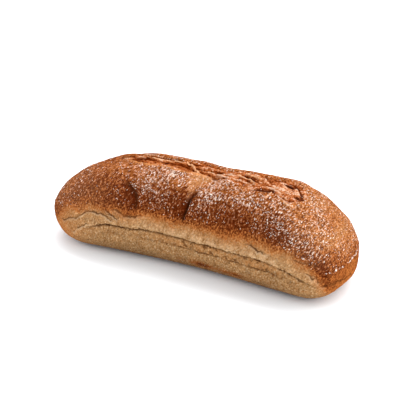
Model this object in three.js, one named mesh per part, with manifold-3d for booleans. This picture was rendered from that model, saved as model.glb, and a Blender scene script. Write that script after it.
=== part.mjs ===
// Sub roll: a long wholemeal bread roll, one solid, in millimetres with +Z up.
// The origin is under the middle of the roll, on the surface it rests on. +X runs along the roll
// and -Y is the front. The form is a rounded bar with a flat base, moved along its normals by the
// relief that baking left: a tear along the crown, a crease round each flank, and shoulder folds.

import * as THREE from "three";
import { mergeVertices } from "three/addons/utils/BufferGeometryUtils.js";
import Module from "manifold-3d";

const wasm = await Module();
wasm.setup();

// Driving dimensions of the bare form.
const LENGTH = 210;
const WIDTH = 71.5; // near the tips, before the waist is drawn in
const HEIGHT = 60.3;
const WIDEST_HEIGHT = 16.6; // the flanks and both tips are widest at this height
const BASE_SINK = 1.8; // how far the bare form reaches below the flat base before it is cut
const HEIGHT_GAIN = 0.017; // the right half rises by this share, and the left half drops by it
const WAIST = 0.094; // share by which the middle is narrower than the ends
const BEND = 5.5; // how far the middle lies behind the tips

// Powers of the superellipses that round the section and the tips.
const CROWN_POWER = 2.55;
const BASE_POWER = 2.77;
const TIP = {
  plan: { left: 5.6, right: 8.4, softness: 2.4 },
  crown: { left: 3.2, right: 3.9, softness: 1.85 },
  base: { left: 5.8, right: 7, softness: 2.4 },
};

// Creases that run round the flanks: the lip over the groove and the stretched band under it, then
// where each crease lies and how far along the roll it reaches.
const CREASE = { lip: 0.8, lipUp: 4, lipWidth: 3, groove: 1.9, grooveWidth: 1.5, recess: 0.9, band: 6 };
const CREASE_BAND_EDGE = { low: 1.5, high: 0.5, top: 1 };
const CREASE_FADE = { from: 0.8, to: 1.08, rightStretch: 0.08 };
const CREASE_DROOP = { power: 5, most: 1.1 };
const CREASE_SAG = { at: 25, width: 42 };
const FRONT_CREASE = { height: 25.2, left: 68, right: 84, droop: 7.5, sag: 1.3 };
const BACK_CREASE = { height: 24, left: 82, right: 76, droop: 7, sag: 0 };

// Tear along the crown, where the dough opened: its ends, how far each end is rounded, and the
// corners of the front and back lips as x and y.
const TEAR = { left: -68, right: 72, leftRound: 28, rightRound: 13 };
const FRONT_LIP = [
  [-60, -0.8],
  [-42, -4],
  [-33, -5.2],
  [-24, -4.4],
  [-12, -6],
  [21, -5.8],
  [29, -8],
  [40, -11.8],
  [54, -9.6],
  [65, -14.5],
  [74, -13],
];
const BACK_LIP = [
  [-60, 8],
  [-30, 8],
  [10, 9.5],
  [50, 11],
];
const TEAR_LIP = { rise: 0.6, out: 1.6, width: 2.4 };
const TEAR_GUTTER = { depth: 0.8, inside: 1.4, width: 1.4 };
const TEAR_FLOOR = { sag: 0.6, edge: 2.5, bulge: 0.7, bulgeFrom: 2, bulgeTo: 7 };
const TEAR_RIDGES = { rise: 0.45, pitch: 6.4, lean: 0.06, from: 1, to: 3.5 };
const TEAR_WANDER = [
  { reach: 0.5, length: 6.1, phase: 0.4 },
  { reach: 0.3, length: 3.3, phase: 2 },
];
const BACK_LIP_PACE = 2; // the back lip wanders this many times as fast as the front one

// Strands of dough across the tear, and splits and pockets in it where the rise is below zero.
// Each runs through points given as x and y.
const STRANDS = [
  { path: [[-58, 2], [-44, 2.6], [-28.6, 3.4], [-13, 5.5]], rise: 0.5, width: 1.2 },
  { path: [[-60, 1.6], [-52, 0.8], [-32, 0.9], [-24, 1.4]], rise: -1, width: 1.3 },
  { path: [[-46, 4.8], [-36, 5.4], [-18, 8.4]], rise: -1.4, width: 1.3 },
  { path: [[-42, 9], [-26, 10.8], [-18, 12]], rise: -1.3, width: 1.4 },
  { path: [[-24, 0.6], [-16, 0.8], [-9, 0.2], [-3, -1.2]], rise: -1.3, width: 2.1 },
  { path: [[-11.5, 6], [-5.3, 2.2], [1.6, -4.8]], rise: 1.1, width: 1.2 },
  { path: [[-2, 2.5], [6, 0.6], [14, 1]], rise: -1.2, width: 1.2 },
  { path: [[13, -6.6], [15.6, -5.6], [18.6, -4.9]], rise: -1.3, width: 1.5 },
  { path: [[20.4, -5.5], [28.6, -7.8], [37.4, -11.2]], rise: -0.8, width: 1.8 },
  { path: [[30, -0.3], [36, -0.9], [42, -2.4]], rise: -1.2, width: 1.2 },
  { path: [[41.7, 8.5], [44.2, 6], [47.4, 2.4]], rise: -1.7, width: 1.2 },
  { path: [[40, -10.8], [44, -8.7], [52, -7.3]], rise: -1.9, width: 1.3 },
  { path: [[51.8, -7.5], [52.3, -11], [51.5, -14.8]], rise: 1, width: 1.2 },
  { path: [[57.2, 5.2], [61.6, 4.2]], rise: -3, width: 1.5 },
  { path: [[61.2, 9.3], [66.3, 3.4], [69.4, -1.5], [70.8, -5.5]], rise: -1.3, width: 1.2 },
];

// Folds down the shoulders. Line: x at the bend, the slope below it as x for each millimetre of
// height, and how far the top leans along +X between two heights. Span: the heights of the foot and
// the top, and how far up the foot fades in. Hollow: its depth, and its width on the left of the line.
const FOLDS = [
  {
    side: -1,
    line: { x: -32.4, slant: -0.12, lean: -11, from: 46, to: 55 },
    span: { low: 28, high: 56, foot: 18 },
    hollow: { depth: 1.9, spread: 9 },
  },
  {
    side: -1,
    line: { x: 4.2, slant: 0.24, lean: 10, from: 49, to: 60 },
    span: { low: 34, high: 57, foot: 8 },
    hollow: { depth: 2.6, spread: 7 },
  },
  {
    side: 1,
    line: { x: -14, slant: 0, lean: 8, from: 44, to: 55 },
    span: { low: 34, high: 57, foot: 8 },
    hollow: { depth: 2.2, spread: 12 },
  },
  {
    side: 1,
    line: { x: 36, slant: 0, lean: -9, from: 45, to: 56 },
    span: { low: 36, high: 58, foot: 8 },
    hollow: { depth: 2.2, spread: 9 },
  },
];
const FOLD_RIM = { rise: 0.8, out: 3.6, width: 1.8, spread: 17 };
const FOLD_TOP_FADE = 6;

// Swellings of the dough, and hollows where the rise is below zero.
const SWELLINGS = [
  { at: [-80, 9, 48], radius: 10, rise: -1.1 },
  { at: [-96, -10, 37], radius: 9, rise: 1.3 },
  { at: [-96, -25, 11], radius: 7, rise: -0.7 },
  { at: [-21, 19, 56], radius: 9, rise: 1.2 },
  { at: [10, 21, 56], radius: 9, rise: -2.6 },
  { at: [17, 9, 59], radius: 6, rise: -1.2 },
  { at: [33, 16, 59], radius: 12, rise: -1.2 },
  { at: [58, 20, 55], radius: 14, rise: 1.4 },
  { at: [84, 21, 46], radius: 12, rise: -1.5 },
  { at: [96, 20, 33], radius: 12, rise: -1.25 },
  { at: [104, 3, 12], radius: 9, rise: 0.6 },
  { at: [86, -27, 6], radius: 11, rise: 1 },
  { at: [101, -16, 7], radius: 9, rise: -1.1 },
  { at: [-77, -28, 6], radius: 13, rise: 1.2 },
  { at: [97, -28, 15], radius: 6, rise: -1.7 },
  { at: [14.5, -9.8, 58.5], radius: 4.5, rise: -1.5 },
  { at: [47, -12.5, 58.5], radius: 5.5, rise: -0.8 },
];

// Ledge round the right tip, below which the crust lies a little lower, fading before the base.
const LEDGE = { height: 23.6, from: 80, to: 97, step: 0.6, width: 1.6, fadeFrom: 6, fadeTo: 16 };

// Waves left by hand shaping: height, wavelengths along X, Y and Z, and phase. They die out
// towards the base, which lay flat.
const WAVES = [
  { rise: 0.5, along: 63, across: 58, up: 90, phase: 0.7 },
  { rise: 0.4, along: 37, across: -71, up: 52, phase: 2.1 },
  { rise: 0.25, along: -24, across: 41, up: 33, phase: 4 },
];
const WAVE_FLOOR = { none: 8, full: 28 };

// Rings along the roll, and columns between the lines that the columns follow round the girth.
// Towards the tips the columns leave those lines and spread evenly, in degrees from the back flank.
const RINGS = 105;
const COLUMNS = { underBack: 9, backShoulder: 11, tear: 13, frontShoulder: 13, underFront: 10 };
const EVEN = { start: -90, backCrease: 18, backLip: 66, frontLip: 114, frontCrease: 162, end: 270 };
const EVEN_FROM = 0.72;
const EVEN_TO = 0.94;
const CREASE_SHARE = [0.05, 0.9]; // limits of a crease's height, as a share of the crown's rise
const LIP_SHARE = [0.02, 0.8]; // limits of a lip's distance from the middle, as a share of the width
const OUTLINE_SAMPLES = 4000;
const SLOPE_STEP = 1e-4;
const TINY = 1e-6;
const SHEET_MARGIN = 1.2; // size of the baking sheet, as a share of the roll's length and width

const CRUST = { color: 0xa8683c, roughness: 0.85, metalness: 0 };

const mix = THREE.MathUtils.lerp;
const clamp = THREE.MathUtils.clamp;
const smooth = THREE.MathUtils.smoothstep;
const degrees = THREE.MathUtils.degToRad;
const bell = (t) => Math.exp(-t * t);
const total = (list, measure) => list.reduce((sum, item) => sum + measure(item), 0);

// Share of the full size that is left at u, which runs from -1 at the left tip to 1 at the right.
function tipShare(u, { left, right, softness }) {
  return (1 - Math.abs(u) ** (u < 0 ? left : right)) ** (1 / softness);
}

const halfWidth = (u) => (WIDTH / 2) * tipShare(u, TIP.plan) * (1 - WAIST * (1 - u * u) ** 2);
const crownRise = (u) => (HEIGHT - WIDEST_HEIGHT) * (1 + HEIGHT_GAIN * u) * tipShare(u, TIP.crown);
const baseDrop = (u) => (WIDEST_HEIGHT + BASE_SINK) * tipShare(u, TIP.base);
const bendShift = (u) => BEND * (1 - u * u) - BEND / 2;

// The bare form at station u and girth angle: 0 is the back flank, a quarter turn the crown.
function formPoint(u, angle) {
  const across = Math.cos(angle);
  const up = Math.sin(angle);
  const power = up > 0 ? CROWN_POWER : BASE_POWER;
  const reach = (Math.abs(across) ** power + Math.abs(up) ** power) ** (-1 / power);
  const rise = up > 0 ? crownRise(u) : baseDrop(u);
  return new THREE.Vector3(
    (LENGTH / 2) * u,
    halfWidth(u) * reach * across + bendShift(u),
    WIDEST_HEIGHT + rise * reach * up,
  );
}

// Outward normal of the bare form, from the slopes along the roll and round the girth.
function formNormal(u, angle) {
  if (Math.abs(u) >= 1) return new THREE.Vector3(Math.sign(u), 0, 0);
  const step = Math.min(SLOPE_STEP, (1 - Math.abs(u)) / 2);
  const along = formPoint(u + step, angle).sub(formPoint(u - step, angle));
  const round = formPoint(u, angle + SLOPE_STEP).sub(formPoint(u, angle - SLOPE_STEP));
  return round.cross(along).normalize();
}

const creaseOn = (y) => (y < 0 ? FRONT_CREASE : BACK_CREASE);
const creaseReach = (x, crease) => Math.abs(x) / (x < 0 ? crease.left : crease.right);

// A crease droops towards the tips, and may sag a little along the middle of the roll.
function creaseHeight(x, crease) {
  const reach = Math.min(creaseReach(x, crease), CREASE_DROOP.most);
  const sag = crease.sag * bell((x - CREASE_SAG.at) / CREASE_SAG.width);
  return crease.height - crease.droop * reach ** CREASE_DROOP.power - sag;
}

// A lip overhangs a groove, with a shallow band of stretched dough under it.
function creaseRelief({ x, y, z }) {
  const crease = creaseOn(y);
  const above = z - creaseHeight(x, crease);
  const { low, high, top } = CREASE_BAND_EDGE;
  const band = smooth(above, -CREASE.band - low, -CREASE.band + high) * (1 - smooth(above, -top, top));
  const profile =
    CREASE.lip * bell((above - CREASE.lipUp) / CREASE.lipWidth) -
    CREASE.groove * bell(above / CREASE.grooveWidth) -
    CREASE.recess * band;
  const past = creaseReach(x, crease) - (x < 0 ? 0 : CREASE_FADE.rightStretch);
  return profile * (1 - smooth(past, CREASE_FADE.from, CREASE_FADE.to));
}

// The y of a lip at x, which runs straight from corner to corner.
function lipAt(x, lip) {
  const next = lip.findIndex(([cornerX]) => cornerX >= x);
  if (next < 0) return lip.at(-1)[1];
  if (next === 0) return lip[0][1];
  const [startX, startY] = lip[next - 1];
  const [endX, endY] = lip[next];
  return mix(startY, endY, (x - startX) / (endX - startX));
}

const tearWander = (x) =>
  total(TEAR_WANDER, ({ reach, length, phase }) => reach * Math.sin(x / length + phase));

// Middle and half-width of the tear at x along the roll.
function tearSpan(x) {
  const front = lipAt(x, FRONT_LIP) + tearWander(x);
  const back = lipAt(x, BACK_LIP) + tearWander(BACK_LIP_PACE * x);
  return { middle: (front + back) / 2, half: (back - front) / 2 };
}

// Distance outside the tear's edge, a strip with two rounded ends. Inside it is below zero.
function outsideTear(x, y) {
  const { middle, half } = tearSpan(x);
  const across = (y - middle) / half;
  const round = x < 0 ? TEAR.leftRound : TEAR.rightRound;
  const past = x < 0 ? TEAR.left + round - x : x - TEAR.right + round;
  const along = Math.max(past, 0) / round;
  const reach = Math.hypot(across, along);
  if (reach < TINY) return -half;
  return ((reach - 1) * (half * across ** 2 + round * along ** 2)) / reach ** 2;
}

// Distance on plan from a straight leg of a strand.
function legGap(place, start, end) {
  const leg = new THREE.Line3(new THREE.Vector3(...start, 0), new THREE.Vector3(...end, 0));
  return leg.closestPointToPoint(place, true, new THREE.Vector3()).distanceTo(place);
}

function strandRelief({ x, y }, { path, rise, width }) {
  const place = new THREE.Vector3(x, y, 0);
  const gaps = path.slice(1).map((end, i) => legGap(place, path[i], end));
  return rise * bell(Math.min(...gaps) / width);
}

// A raised lip round the tear, a gutter inside it, and stretched dough that bulges in the middle.
function tearRelief(p) {
  if (p.z < WIDEST_HEIGHT) return 0;
  const outside = outsideTear(p.x, p.y);
  const lip = TEAR_LIP.rise * bell((outside - TEAR_LIP.out) / TEAR_LIP.width);
  const gutter = TEAR_GUTTER.depth * bell((outside + TEAR_GUTTER.inside) / TEAR_GUTTER.width);
  const bulge = TEAR_FLOOR.bulge * smooth(-outside, TEAR_FLOOR.bulgeFrom, TEAR_FLOOR.bulgeTo);
  const sag = TEAR_FLOOR.sag * smooth(-outside, 0, TEAR_FLOOR.edge) * (1 - bulge);
  const turn = (2 * Math.PI * (p.y - tearSpan(p.x).middle)) / TEAR_RIDGES.pitch;
  const ridge = TEAR_RIDGES.rise * Math.cos(turn + TEAR_RIDGES.lean * p.x);
  const ridges = ridge * smooth(-outside, TEAR_RIDGES.from, TEAR_RIDGES.to);
  return lip - gutter - sag + ridges + total(STRANDS, (strand) => strandRelief(p, strand));
}

// The dough on the right of a fold stands proud of the dough on its left.
function foldRelief({ x, y, z }, { side, line, span, hollow }) {
  if (Math.sign(y) !== side) return 0;
  const below = line.slant * Math.min(z - line.from, 0);
  const beside = x - line.x - below - line.lean * smooth(z, line.from, line.to);
  const foot = smooth(z, span.low, span.low + span.foot);
  const top = 1 - smooth(z, span.high - FOLD_TOP_FADE, span.high);
  const dip = hollow.depth * bell(beside / (beside < 0 ? hollow.spread : FOLD_RIM.width));
  const rim = beside > 0 ? FOLD_RIM.rise * bell((beside - FOLD_RIM.out) / FOLD_RIM.spread) : 0;
  return foot * top * (rim - dip);
}

const swellingRelief = (p, { at, radius, rise }) =>
  rise * bell(p.distanceTo(new THREE.Vector3(...at)) / radius);

// Below the ledge the crust of the right tip lies lower.
function ledgeRelief({ x, z }) {
  const below = LEDGE.height - z;
  const face = smooth(below, 0, LEDGE.width) * (1 - smooth(below, LEDGE.fadeFrom, LEDGE.fadeTo));
  return -LEDGE.step * face * smooth(x, LEDGE.from, LEDGE.to);
}

const waveRelief = ({ x, y, z }, { rise, along, across, up, phase }) =>
  rise * Math.sin(2 * Math.PI * (x / along + y / across + z / up) + phase);

// Distance that baking moved a point of the bare form outwards.
function relief(p) {
  return (
    creaseRelief(p) +
    tearRelief(p) +
    ledgeRelief(p) +
    total(FOLDS, (fold) => foldRelief(p, fold)) +
    total(SWELLINGS, (swelling) => swellingRelief(p, swelling)) +
    total(WAVES, (wave) => waveRelief(p, wave)) * smooth(p.z, WAVE_FLOOR.none, WAVE_FLOOR.full)
  );
}

function surfacePoint(u, angle) {
  const point = formPoint(u, angle);
  return point.addScaledVector(formNormal(u, angle), relief(point));
}

// Girth angle, from the flank, of the point on the crown's superellipse with this height share.
function angleAtShare(share) {
  const across = (1 - share ** CROWN_POWER) ** (1 / CROWN_POWER);
  return Math.atan2(share, across);
}

function angleAtHeight(u, z) {
  return angleAtShare(clamp((z - WIDEST_HEIGHT) / crownRise(u), ...CREASE_SHARE));
}

function angleAtAcross(u, y) {
  const across = y - bendShift(u);
  const share = clamp(Math.abs(across) / halfWidth(u), ...LIP_SHARE);
  const angle = Math.PI / 2 - angleAtShare(share);
  return across > 0 ? angle : Math.PI - angle;
}

// Girth angles of one ring. Its columns follow the creases and the tear's lips, so that few
// triangles draw them sharply.
function ringAngles(u) {
  const x = (LENGTH / 2) * u;
  const { middle, half } = tearSpan(x);
  const tip = smooth(Math.abs(u), EVEN_FROM, EVEN_TO);
  const lines = [
    degrees(EVEN.start),
    mix(angleAtHeight(u, creaseHeight(x, BACK_CREASE)), degrees(EVEN.backCrease), tip),
    mix(angleAtAcross(u, middle + half), degrees(EVEN.backLip), tip),
    mix(angleAtAcross(u, middle - half), degrees(EVEN.frontLip), tip),
    mix(Math.PI - angleAtHeight(u, creaseHeight(x, FRONT_CREASE)), degrees(EVEN.frontCrease), tip),
    degrees(EVEN.end),
  ];
  return Object.values(COLUMNS).flatMap((columns, span) =>
    Array.from({ length: columns }, (_, i) => mix(lines[span], lines[span + 1], i / columns)),
  );
}

// Stations from the right tip to the left, at equal steps along the outline seen from above.
function ringStations() {
  const walk = [0];
  const stationAt = (i) => Math.cos((Math.PI * i) / OUTLINE_SAMPLES);
  const outline = (i) => new THREE.Vector2((LENGTH / 2) * stationAt(i), halfWidth(stationAt(i)));
  for (let i = 1; i <= OUTLINE_SAMPLES; i++) {
    walk.push(walk[i - 1] + outline(i).distanceTo(outline(i - 1)));
  }
  return Array.from({ length: RINGS }, (_, ring) => {
    const goal = (walk[OUTLINE_SAMPLES] * (ring + 1)) / (RINGS + 1);
    return stationAt(walk.findIndex((length) => length >= goal));
  });
}

// A sphere's net of rings and columns, with each vertex moved to its place on the roll.
function bakedNet() {
  const columns = total(Object.values(COLUMNS), (count) => count);
  const net = new THREE.SphereGeometry(1, columns, RINGS + 1);
  const place = net.getAttribute("position");
  const stations = [1, ...ringStations(), -1];
  stations.forEach((u, ring) => {
    const angles = ringAngles(u);
    for (let column = 0; column <= columns; column++) {
      const { x, y, z } = surfacePoint(u, angles[column % columns]);
      place.setXYZ(ring * (columns + 1) + column, x, y, z);
    }
  });
  net.deleteAttribute("normal");
  net.deleteAttribute("uv");
  return mergeVertices(net);
}

function toSolid(geometry) {
  return new wasm.Manifold(
    new wasm.Mesh({
      numProp: 3,
      vertProperties: new Float32Array(geometry.getAttribute("position").array),
      triVerts: new Uint32Array(geometry.index.array),
    }),
  );
}

function toGeometry(solid) {
  const { vertProperties, triVerts } = solid.getMesh();
  const geometry = new THREE.BufferGeometry();
  geometry.setAttribute("position", new THREE.BufferAttribute(vertProperties, 3));
  geometry.setIndex(new THREE.BufferAttribute(triVerts, 1));
  return geometry;
}

// The block under the roll, cut away so that the roll lies on a flat base.
function bakingSheet() {
  const sheet = new THREE.BoxGeometry(LENGTH * SHEET_MARGIN, WIDTH * SHEET_MARGIN, HEIGHT);
  sheet.translate(0, 0, -HEIGHT / 2);
  sheet.deleteAttribute("normal");
  sheet.deleteAttribute("uv");
  return mergeVertices(sheet);
}

// Centred along X and Y, standing on z = 0.
function rollGeometry() {
  const geometry = toGeometry(toSolid(bakedNet()).subtract(toSolid(bakingSheet())));
  geometry.computeBoundingBox();
  const middle = geometry.boundingBox.getCenter(new THREE.Vector3());
  geometry.translate(-middle.x, -middle.y, 0);
  geometry.computeVertexNormals();
  return geometry;
}

const crust = new THREE.MeshStandardMaterial(CRUST);
const roll = new THREE.Mesh(rollGeometry(), crust);
roll.name = "sub_roll";

const part = new THREE.Group();
part.name = "sub_roll_part";
part.add(roll);

export default part;
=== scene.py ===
"""Sub roll: a long wholemeal roll with a torn crown, dressed as a baked crust dusted with flour.

Shapes are worked out in millimetres, in the frame of the bare form, and go into the meshes in
metres. +X runs along the roll, -Y is the front and +Z is up.
"""

import logging
import math
from dataclasses import dataclass, field
from enum import Enum
from itertools import product

import bpy
import numpy as np
from mathutils import Matrix, Vector


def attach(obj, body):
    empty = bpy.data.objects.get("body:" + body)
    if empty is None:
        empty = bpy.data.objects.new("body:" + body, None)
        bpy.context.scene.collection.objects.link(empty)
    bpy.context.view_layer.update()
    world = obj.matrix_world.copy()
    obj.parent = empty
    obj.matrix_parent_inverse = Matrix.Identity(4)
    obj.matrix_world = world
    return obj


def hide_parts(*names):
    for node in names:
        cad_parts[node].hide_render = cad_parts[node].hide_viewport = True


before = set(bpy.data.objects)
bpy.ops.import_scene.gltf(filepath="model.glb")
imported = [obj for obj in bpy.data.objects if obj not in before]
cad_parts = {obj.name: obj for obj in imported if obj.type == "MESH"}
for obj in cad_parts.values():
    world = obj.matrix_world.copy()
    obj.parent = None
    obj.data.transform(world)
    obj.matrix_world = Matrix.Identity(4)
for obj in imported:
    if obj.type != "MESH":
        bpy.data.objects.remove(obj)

Array = np.ndarray
Socket = bpy.types.NodeSocket
Colour = tuple[float, float, float]
Point = tuple[float, float, float]
Place = tuple[float, float]
Span = tuple[float, float]
Ramp = tuple[float, float, float, float]

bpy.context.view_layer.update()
MM = 0.001
BODY = "root"
NODE = "sub_roll"
STREAK = (0.42, 0.72, 0.54)  # direction that the crust was drawn out in
FIBRE = (0.98, -0.16, 0.0)  # direction of the torn dough's fibres
LATTICE = 256  # corners of the random lattice before it repeats, a power of two
WAVE_GAIN = 1.6  # brings random waves to about -1 to 1
LAYER_SUM = 1.4  # height of layered waves before they are brought to about -1 to 1
FAR = 1e6  # a distance past every mark
SLOPE_STEP = 1e-4  # step that slopes are taken over
TINY = 1e-6  # least reach that is divided by
NO_LENGTH = 1e-12  # least length of a normal that is divided by
FINE_STEPS = 20001  # samples of a line that is divided into equal steps

log = logging.getLogger("sub_roll")


def smooth(value: Array, low: float, high: float) -> Array:
    """Eases from 0 at low to 1 at high."""
    share = np.clip((value - low) / (high - low), 0, 1)
    return share * share * (3 - 2 * share)


def bell(value: Array) -> Array:
    """A bump of height 1 at 0, e to the minus square of the value."""
    return np.exp(-value * value)


def mix(start: float, end: float, share: Array) -> Array:
    """The value that lies a share of the way from start to end."""
    return start + (end - start) * share


def terraced(value: Array, steps: float, edge: Span = (0.3, 0.7)) -> Array:
    """Rounds waves to level steps, with edges that take up the given part of each step.

    Args:
        value: Heights of the waves.
        steps: Steps in a height of 1.
        edge: Part of each step that its edge takes up.

    Returns:
        The stepped heights.
    """
    scaled = value * steps
    level = np.floor(scaled)
    return (level + smooth(scaled - level, *edge)) / steps


def path_gap(place: Array, path: tuple[Place, ...]) -> Array:
    """Signed distance from a path of straight legs in a plane.

    Args:
        place: Points, with two coordinates last.
        path: Corners of the path.

    Returns:
        The distance from the nearest leg, below zero where the second coordinate is below it.
    """
    nearest = np.full(place.shape[:-1], FAR)
    for start, end in zip(path, path[1:]):
        leg = np.subtract(end, start)
        share = np.clip((place - start) @ leg / (leg @ leg), 0, 1)
        gap = place - start - share[..., None] * leg
        reach = np.hypot(gap[..., 0], gap[..., 1]) * np.where(gap[..., 1] < 0, -1, 1)
        nearest = np.where(np.abs(reach) < np.abs(nearest), reach, nearest)
    return nearest


class Side(Enum):
    """A flank of the roll, as the sign of its y."""

    FRONT = -1
    BACK = 1

    def holds(self, y: Array) -> Array:
        """1 where a point is on this side, and 0 elsewhere."""
        return (np.sign(y) == self.value).astype(float)


@dataclass(frozen=True)
class Grain:
    """Seeded random waves in space, smooth at one size.

    Attributes:
        seed: Picks one set of waves.
    """

    seed: int

    def at(self, points: Array, size: float | Point) -> Array:
        """Gradient noise: each lattice corner holds a random slope, blended by a quintic.

        Args:
            points: Places, with x, y and z last.
            size: Width of a wave, or one width for each axis.

        Returns:
            Values from about -1 to 1.
        """
        draw = np.random.default_rng(self.seed)
        order = np.tile(draw.permutation(LATTICE), 2)
        slopes = draw.normal(size=(LATTICE, 3))
        slopes /= np.linalg.norm(slopes, axis=1, keepdims=True)
        place = points / np.asarray(size) + draw.uniform(0, LATTICE, 3)
        cell = np.floor(place).astype(int)
        inside = place - cell
        ease = inside**3 * (inside * (inside * 6 - 15) + 10)
        value = np.zeros(points.shape[:-1])
        for corner in product((0, 1), repeat=3):
            x, y, z = np.moveaxis((cell + corner) & (LATTICE - 1), -1, 0)
            slope = slopes[order[order[order[x] + y] + z]]
            weight = np.prod(np.where(corner, ease, 1 - ease), axis=-1)
            value += weight * np.sum(slope * (inside - corner), axis=-1)
        return value * WAVE_GAIN

    def layered(self, points: Array, size: float, layers: int) -> Array:
        """Waves of halving size and height, added up.

        Args:
            points: Places, with x, y and z last.
            size: Width of the widest waves.
            layers: How many sizes are added.

        Returns:
            Values from about -1 to 1.
        """
        waves = [Grain(self.seed + i).at(points, size / 2**i) / 2**i for i in range(layers)]
        return np.sum(waves, axis=0) / LAYER_SUM

    def along(self, x: Array, size: float) -> Array:
        """Waves that change along the roll only."""
        line = np.stack([x, np.zeros_like(x), np.zeros_like(x)], axis=-1)
        return self.at(line, size)


@dataclass(frozen=True)
class Ripple:
    """Random waves of one height.

    Attributes:
        height: Height of the waves.
        width: Width of the widest waves, or one width for each axis.
        seed: Picks one set of waves, counted from the seed of the form that carries them.
        layers: How many halving sizes are added up, or 0 for waves of one size.
    """

    height: float
    width: float | Point
    seed: int = 0
    layers: int = 0

    def at(self, p: Array, seed: int = 0) -> Array:
        """Height of the waves at each point, for a form with the given seed.

        Args:
            p: Points, with x, y and z last.
            seed: Seed of the form that carries the waves.

        Returns:
            Heights around zero.
        """
        grain = Grain(seed + self.seed)
        if self.layers:
            return self.height * grain.layered(p, self.width, self.layers)
        return self.height * grain.at(p, self.width)

    def along(self, x: Array, seed: int = 0) -> Array:
        """Height of waves that change along the roll only, for a form with the given seed."""
        return self.height * Grain(seed + self.seed).along(x, self.width)


@dataclass(frozen=True)
class TipRounding:
    """How one size of the section shrinks towards the tips: (1 - |u|^power)^(1 / softness)."""

    left: float
    right: float
    softness: float

    def share(self, u: Array) -> Array:
        """Share of the full size left at u, which runs from -1 at the left tip to 1."""
        power = np.where(u < 0, self.left, self.right)
        return np.maximum(1 - np.abs(u) ** power, 0) ** (1 / self.softness)


@dataclass(frozen=True)
class BareForm:
    """The roll before its relief: superelliptic sections that shrink to a point at each tip."""

    length: float = 210.0
    width: float = 71.5
    height: float = 60.3
    widest_height: float = 16.6
    base_sink: float = 1.8
    height_gain: float = 0.017
    waist: float = 0.094
    bend: float = 5.5
    crown_power: float = 2.55
    base_power: float = 2.77
    plan: TipRounding = TipRounding(5.6, 8.4, 2.4)
    crown: TipRounding = TipRounding(3.2, 3.9, 1.85)
    base: TipRounding = TipRounding(5.8, 7.0, 2.4)

    def half_width(self, u: Array) -> Array:
        """Half-width in plan at u, drawn in at the waist."""
        return self.width / 2 * self.plan.share(u) * (1 - self.waist * (1 - u * u) ** 2)

    def point(self, u: Array, angle: Array) -> Array:
        """A superellipse across the roll at each station, with a flatter power below the flanks.

        Args:
            u: Station, from -1 at the left tip to 1 at the right.
            angle: Girth angle: 0 is the back flank, a quarter turn the crown.

        Returns:
            Points with x, y and z last.
        """
        across, up = np.cos(angle), np.sin(angle)
        power = np.where(up > 0, self.crown_power, self.base_power)
        reach = (np.abs(across) ** power + np.abs(up) ** power) ** (-1 / power)
        rise = (self.height - self.widest_height) * (1 + self.height_gain * u) * self.crown.share(u)
        drop = (self.widest_height + self.base_sink) * self.base.share(u)
        y = self.half_width(u) * reach * across + self.bend * (0.5 - u * u)
        z = self.widest_height + np.where(up > 0, rise, drop) * reach * up
        return np.stack(np.broadcast_arrays(self.length / 2 * u, y, z), axis=-1)

    def normal(self, u: Array, angle: Array) -> Array:
        """Outward normals, from the slopes along the roll and round the girth.

        Args:
            u: Station, from -1 at the left tip to 1 at the right.
            angle: Girth angle: 0 is the back flank, a quarter turn the crown.

        Returns:
            Normals of length 1.
        """
        step = np.minimum(SLOPE_STEP, (1 - np.abs(u)) / 2)
        along = self.point(u + step, angle) - self.point(u - step, angle)
        around = self.point(u, angle + SLOPE_STEP) - self.point(u, angle - SLOPE_STEP)
        cross = np.cross(around, along)
        return cross / np.maximum(np.linalg.norm(cross, axis=-1, keepdims=True), NO_LENGTH)


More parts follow.
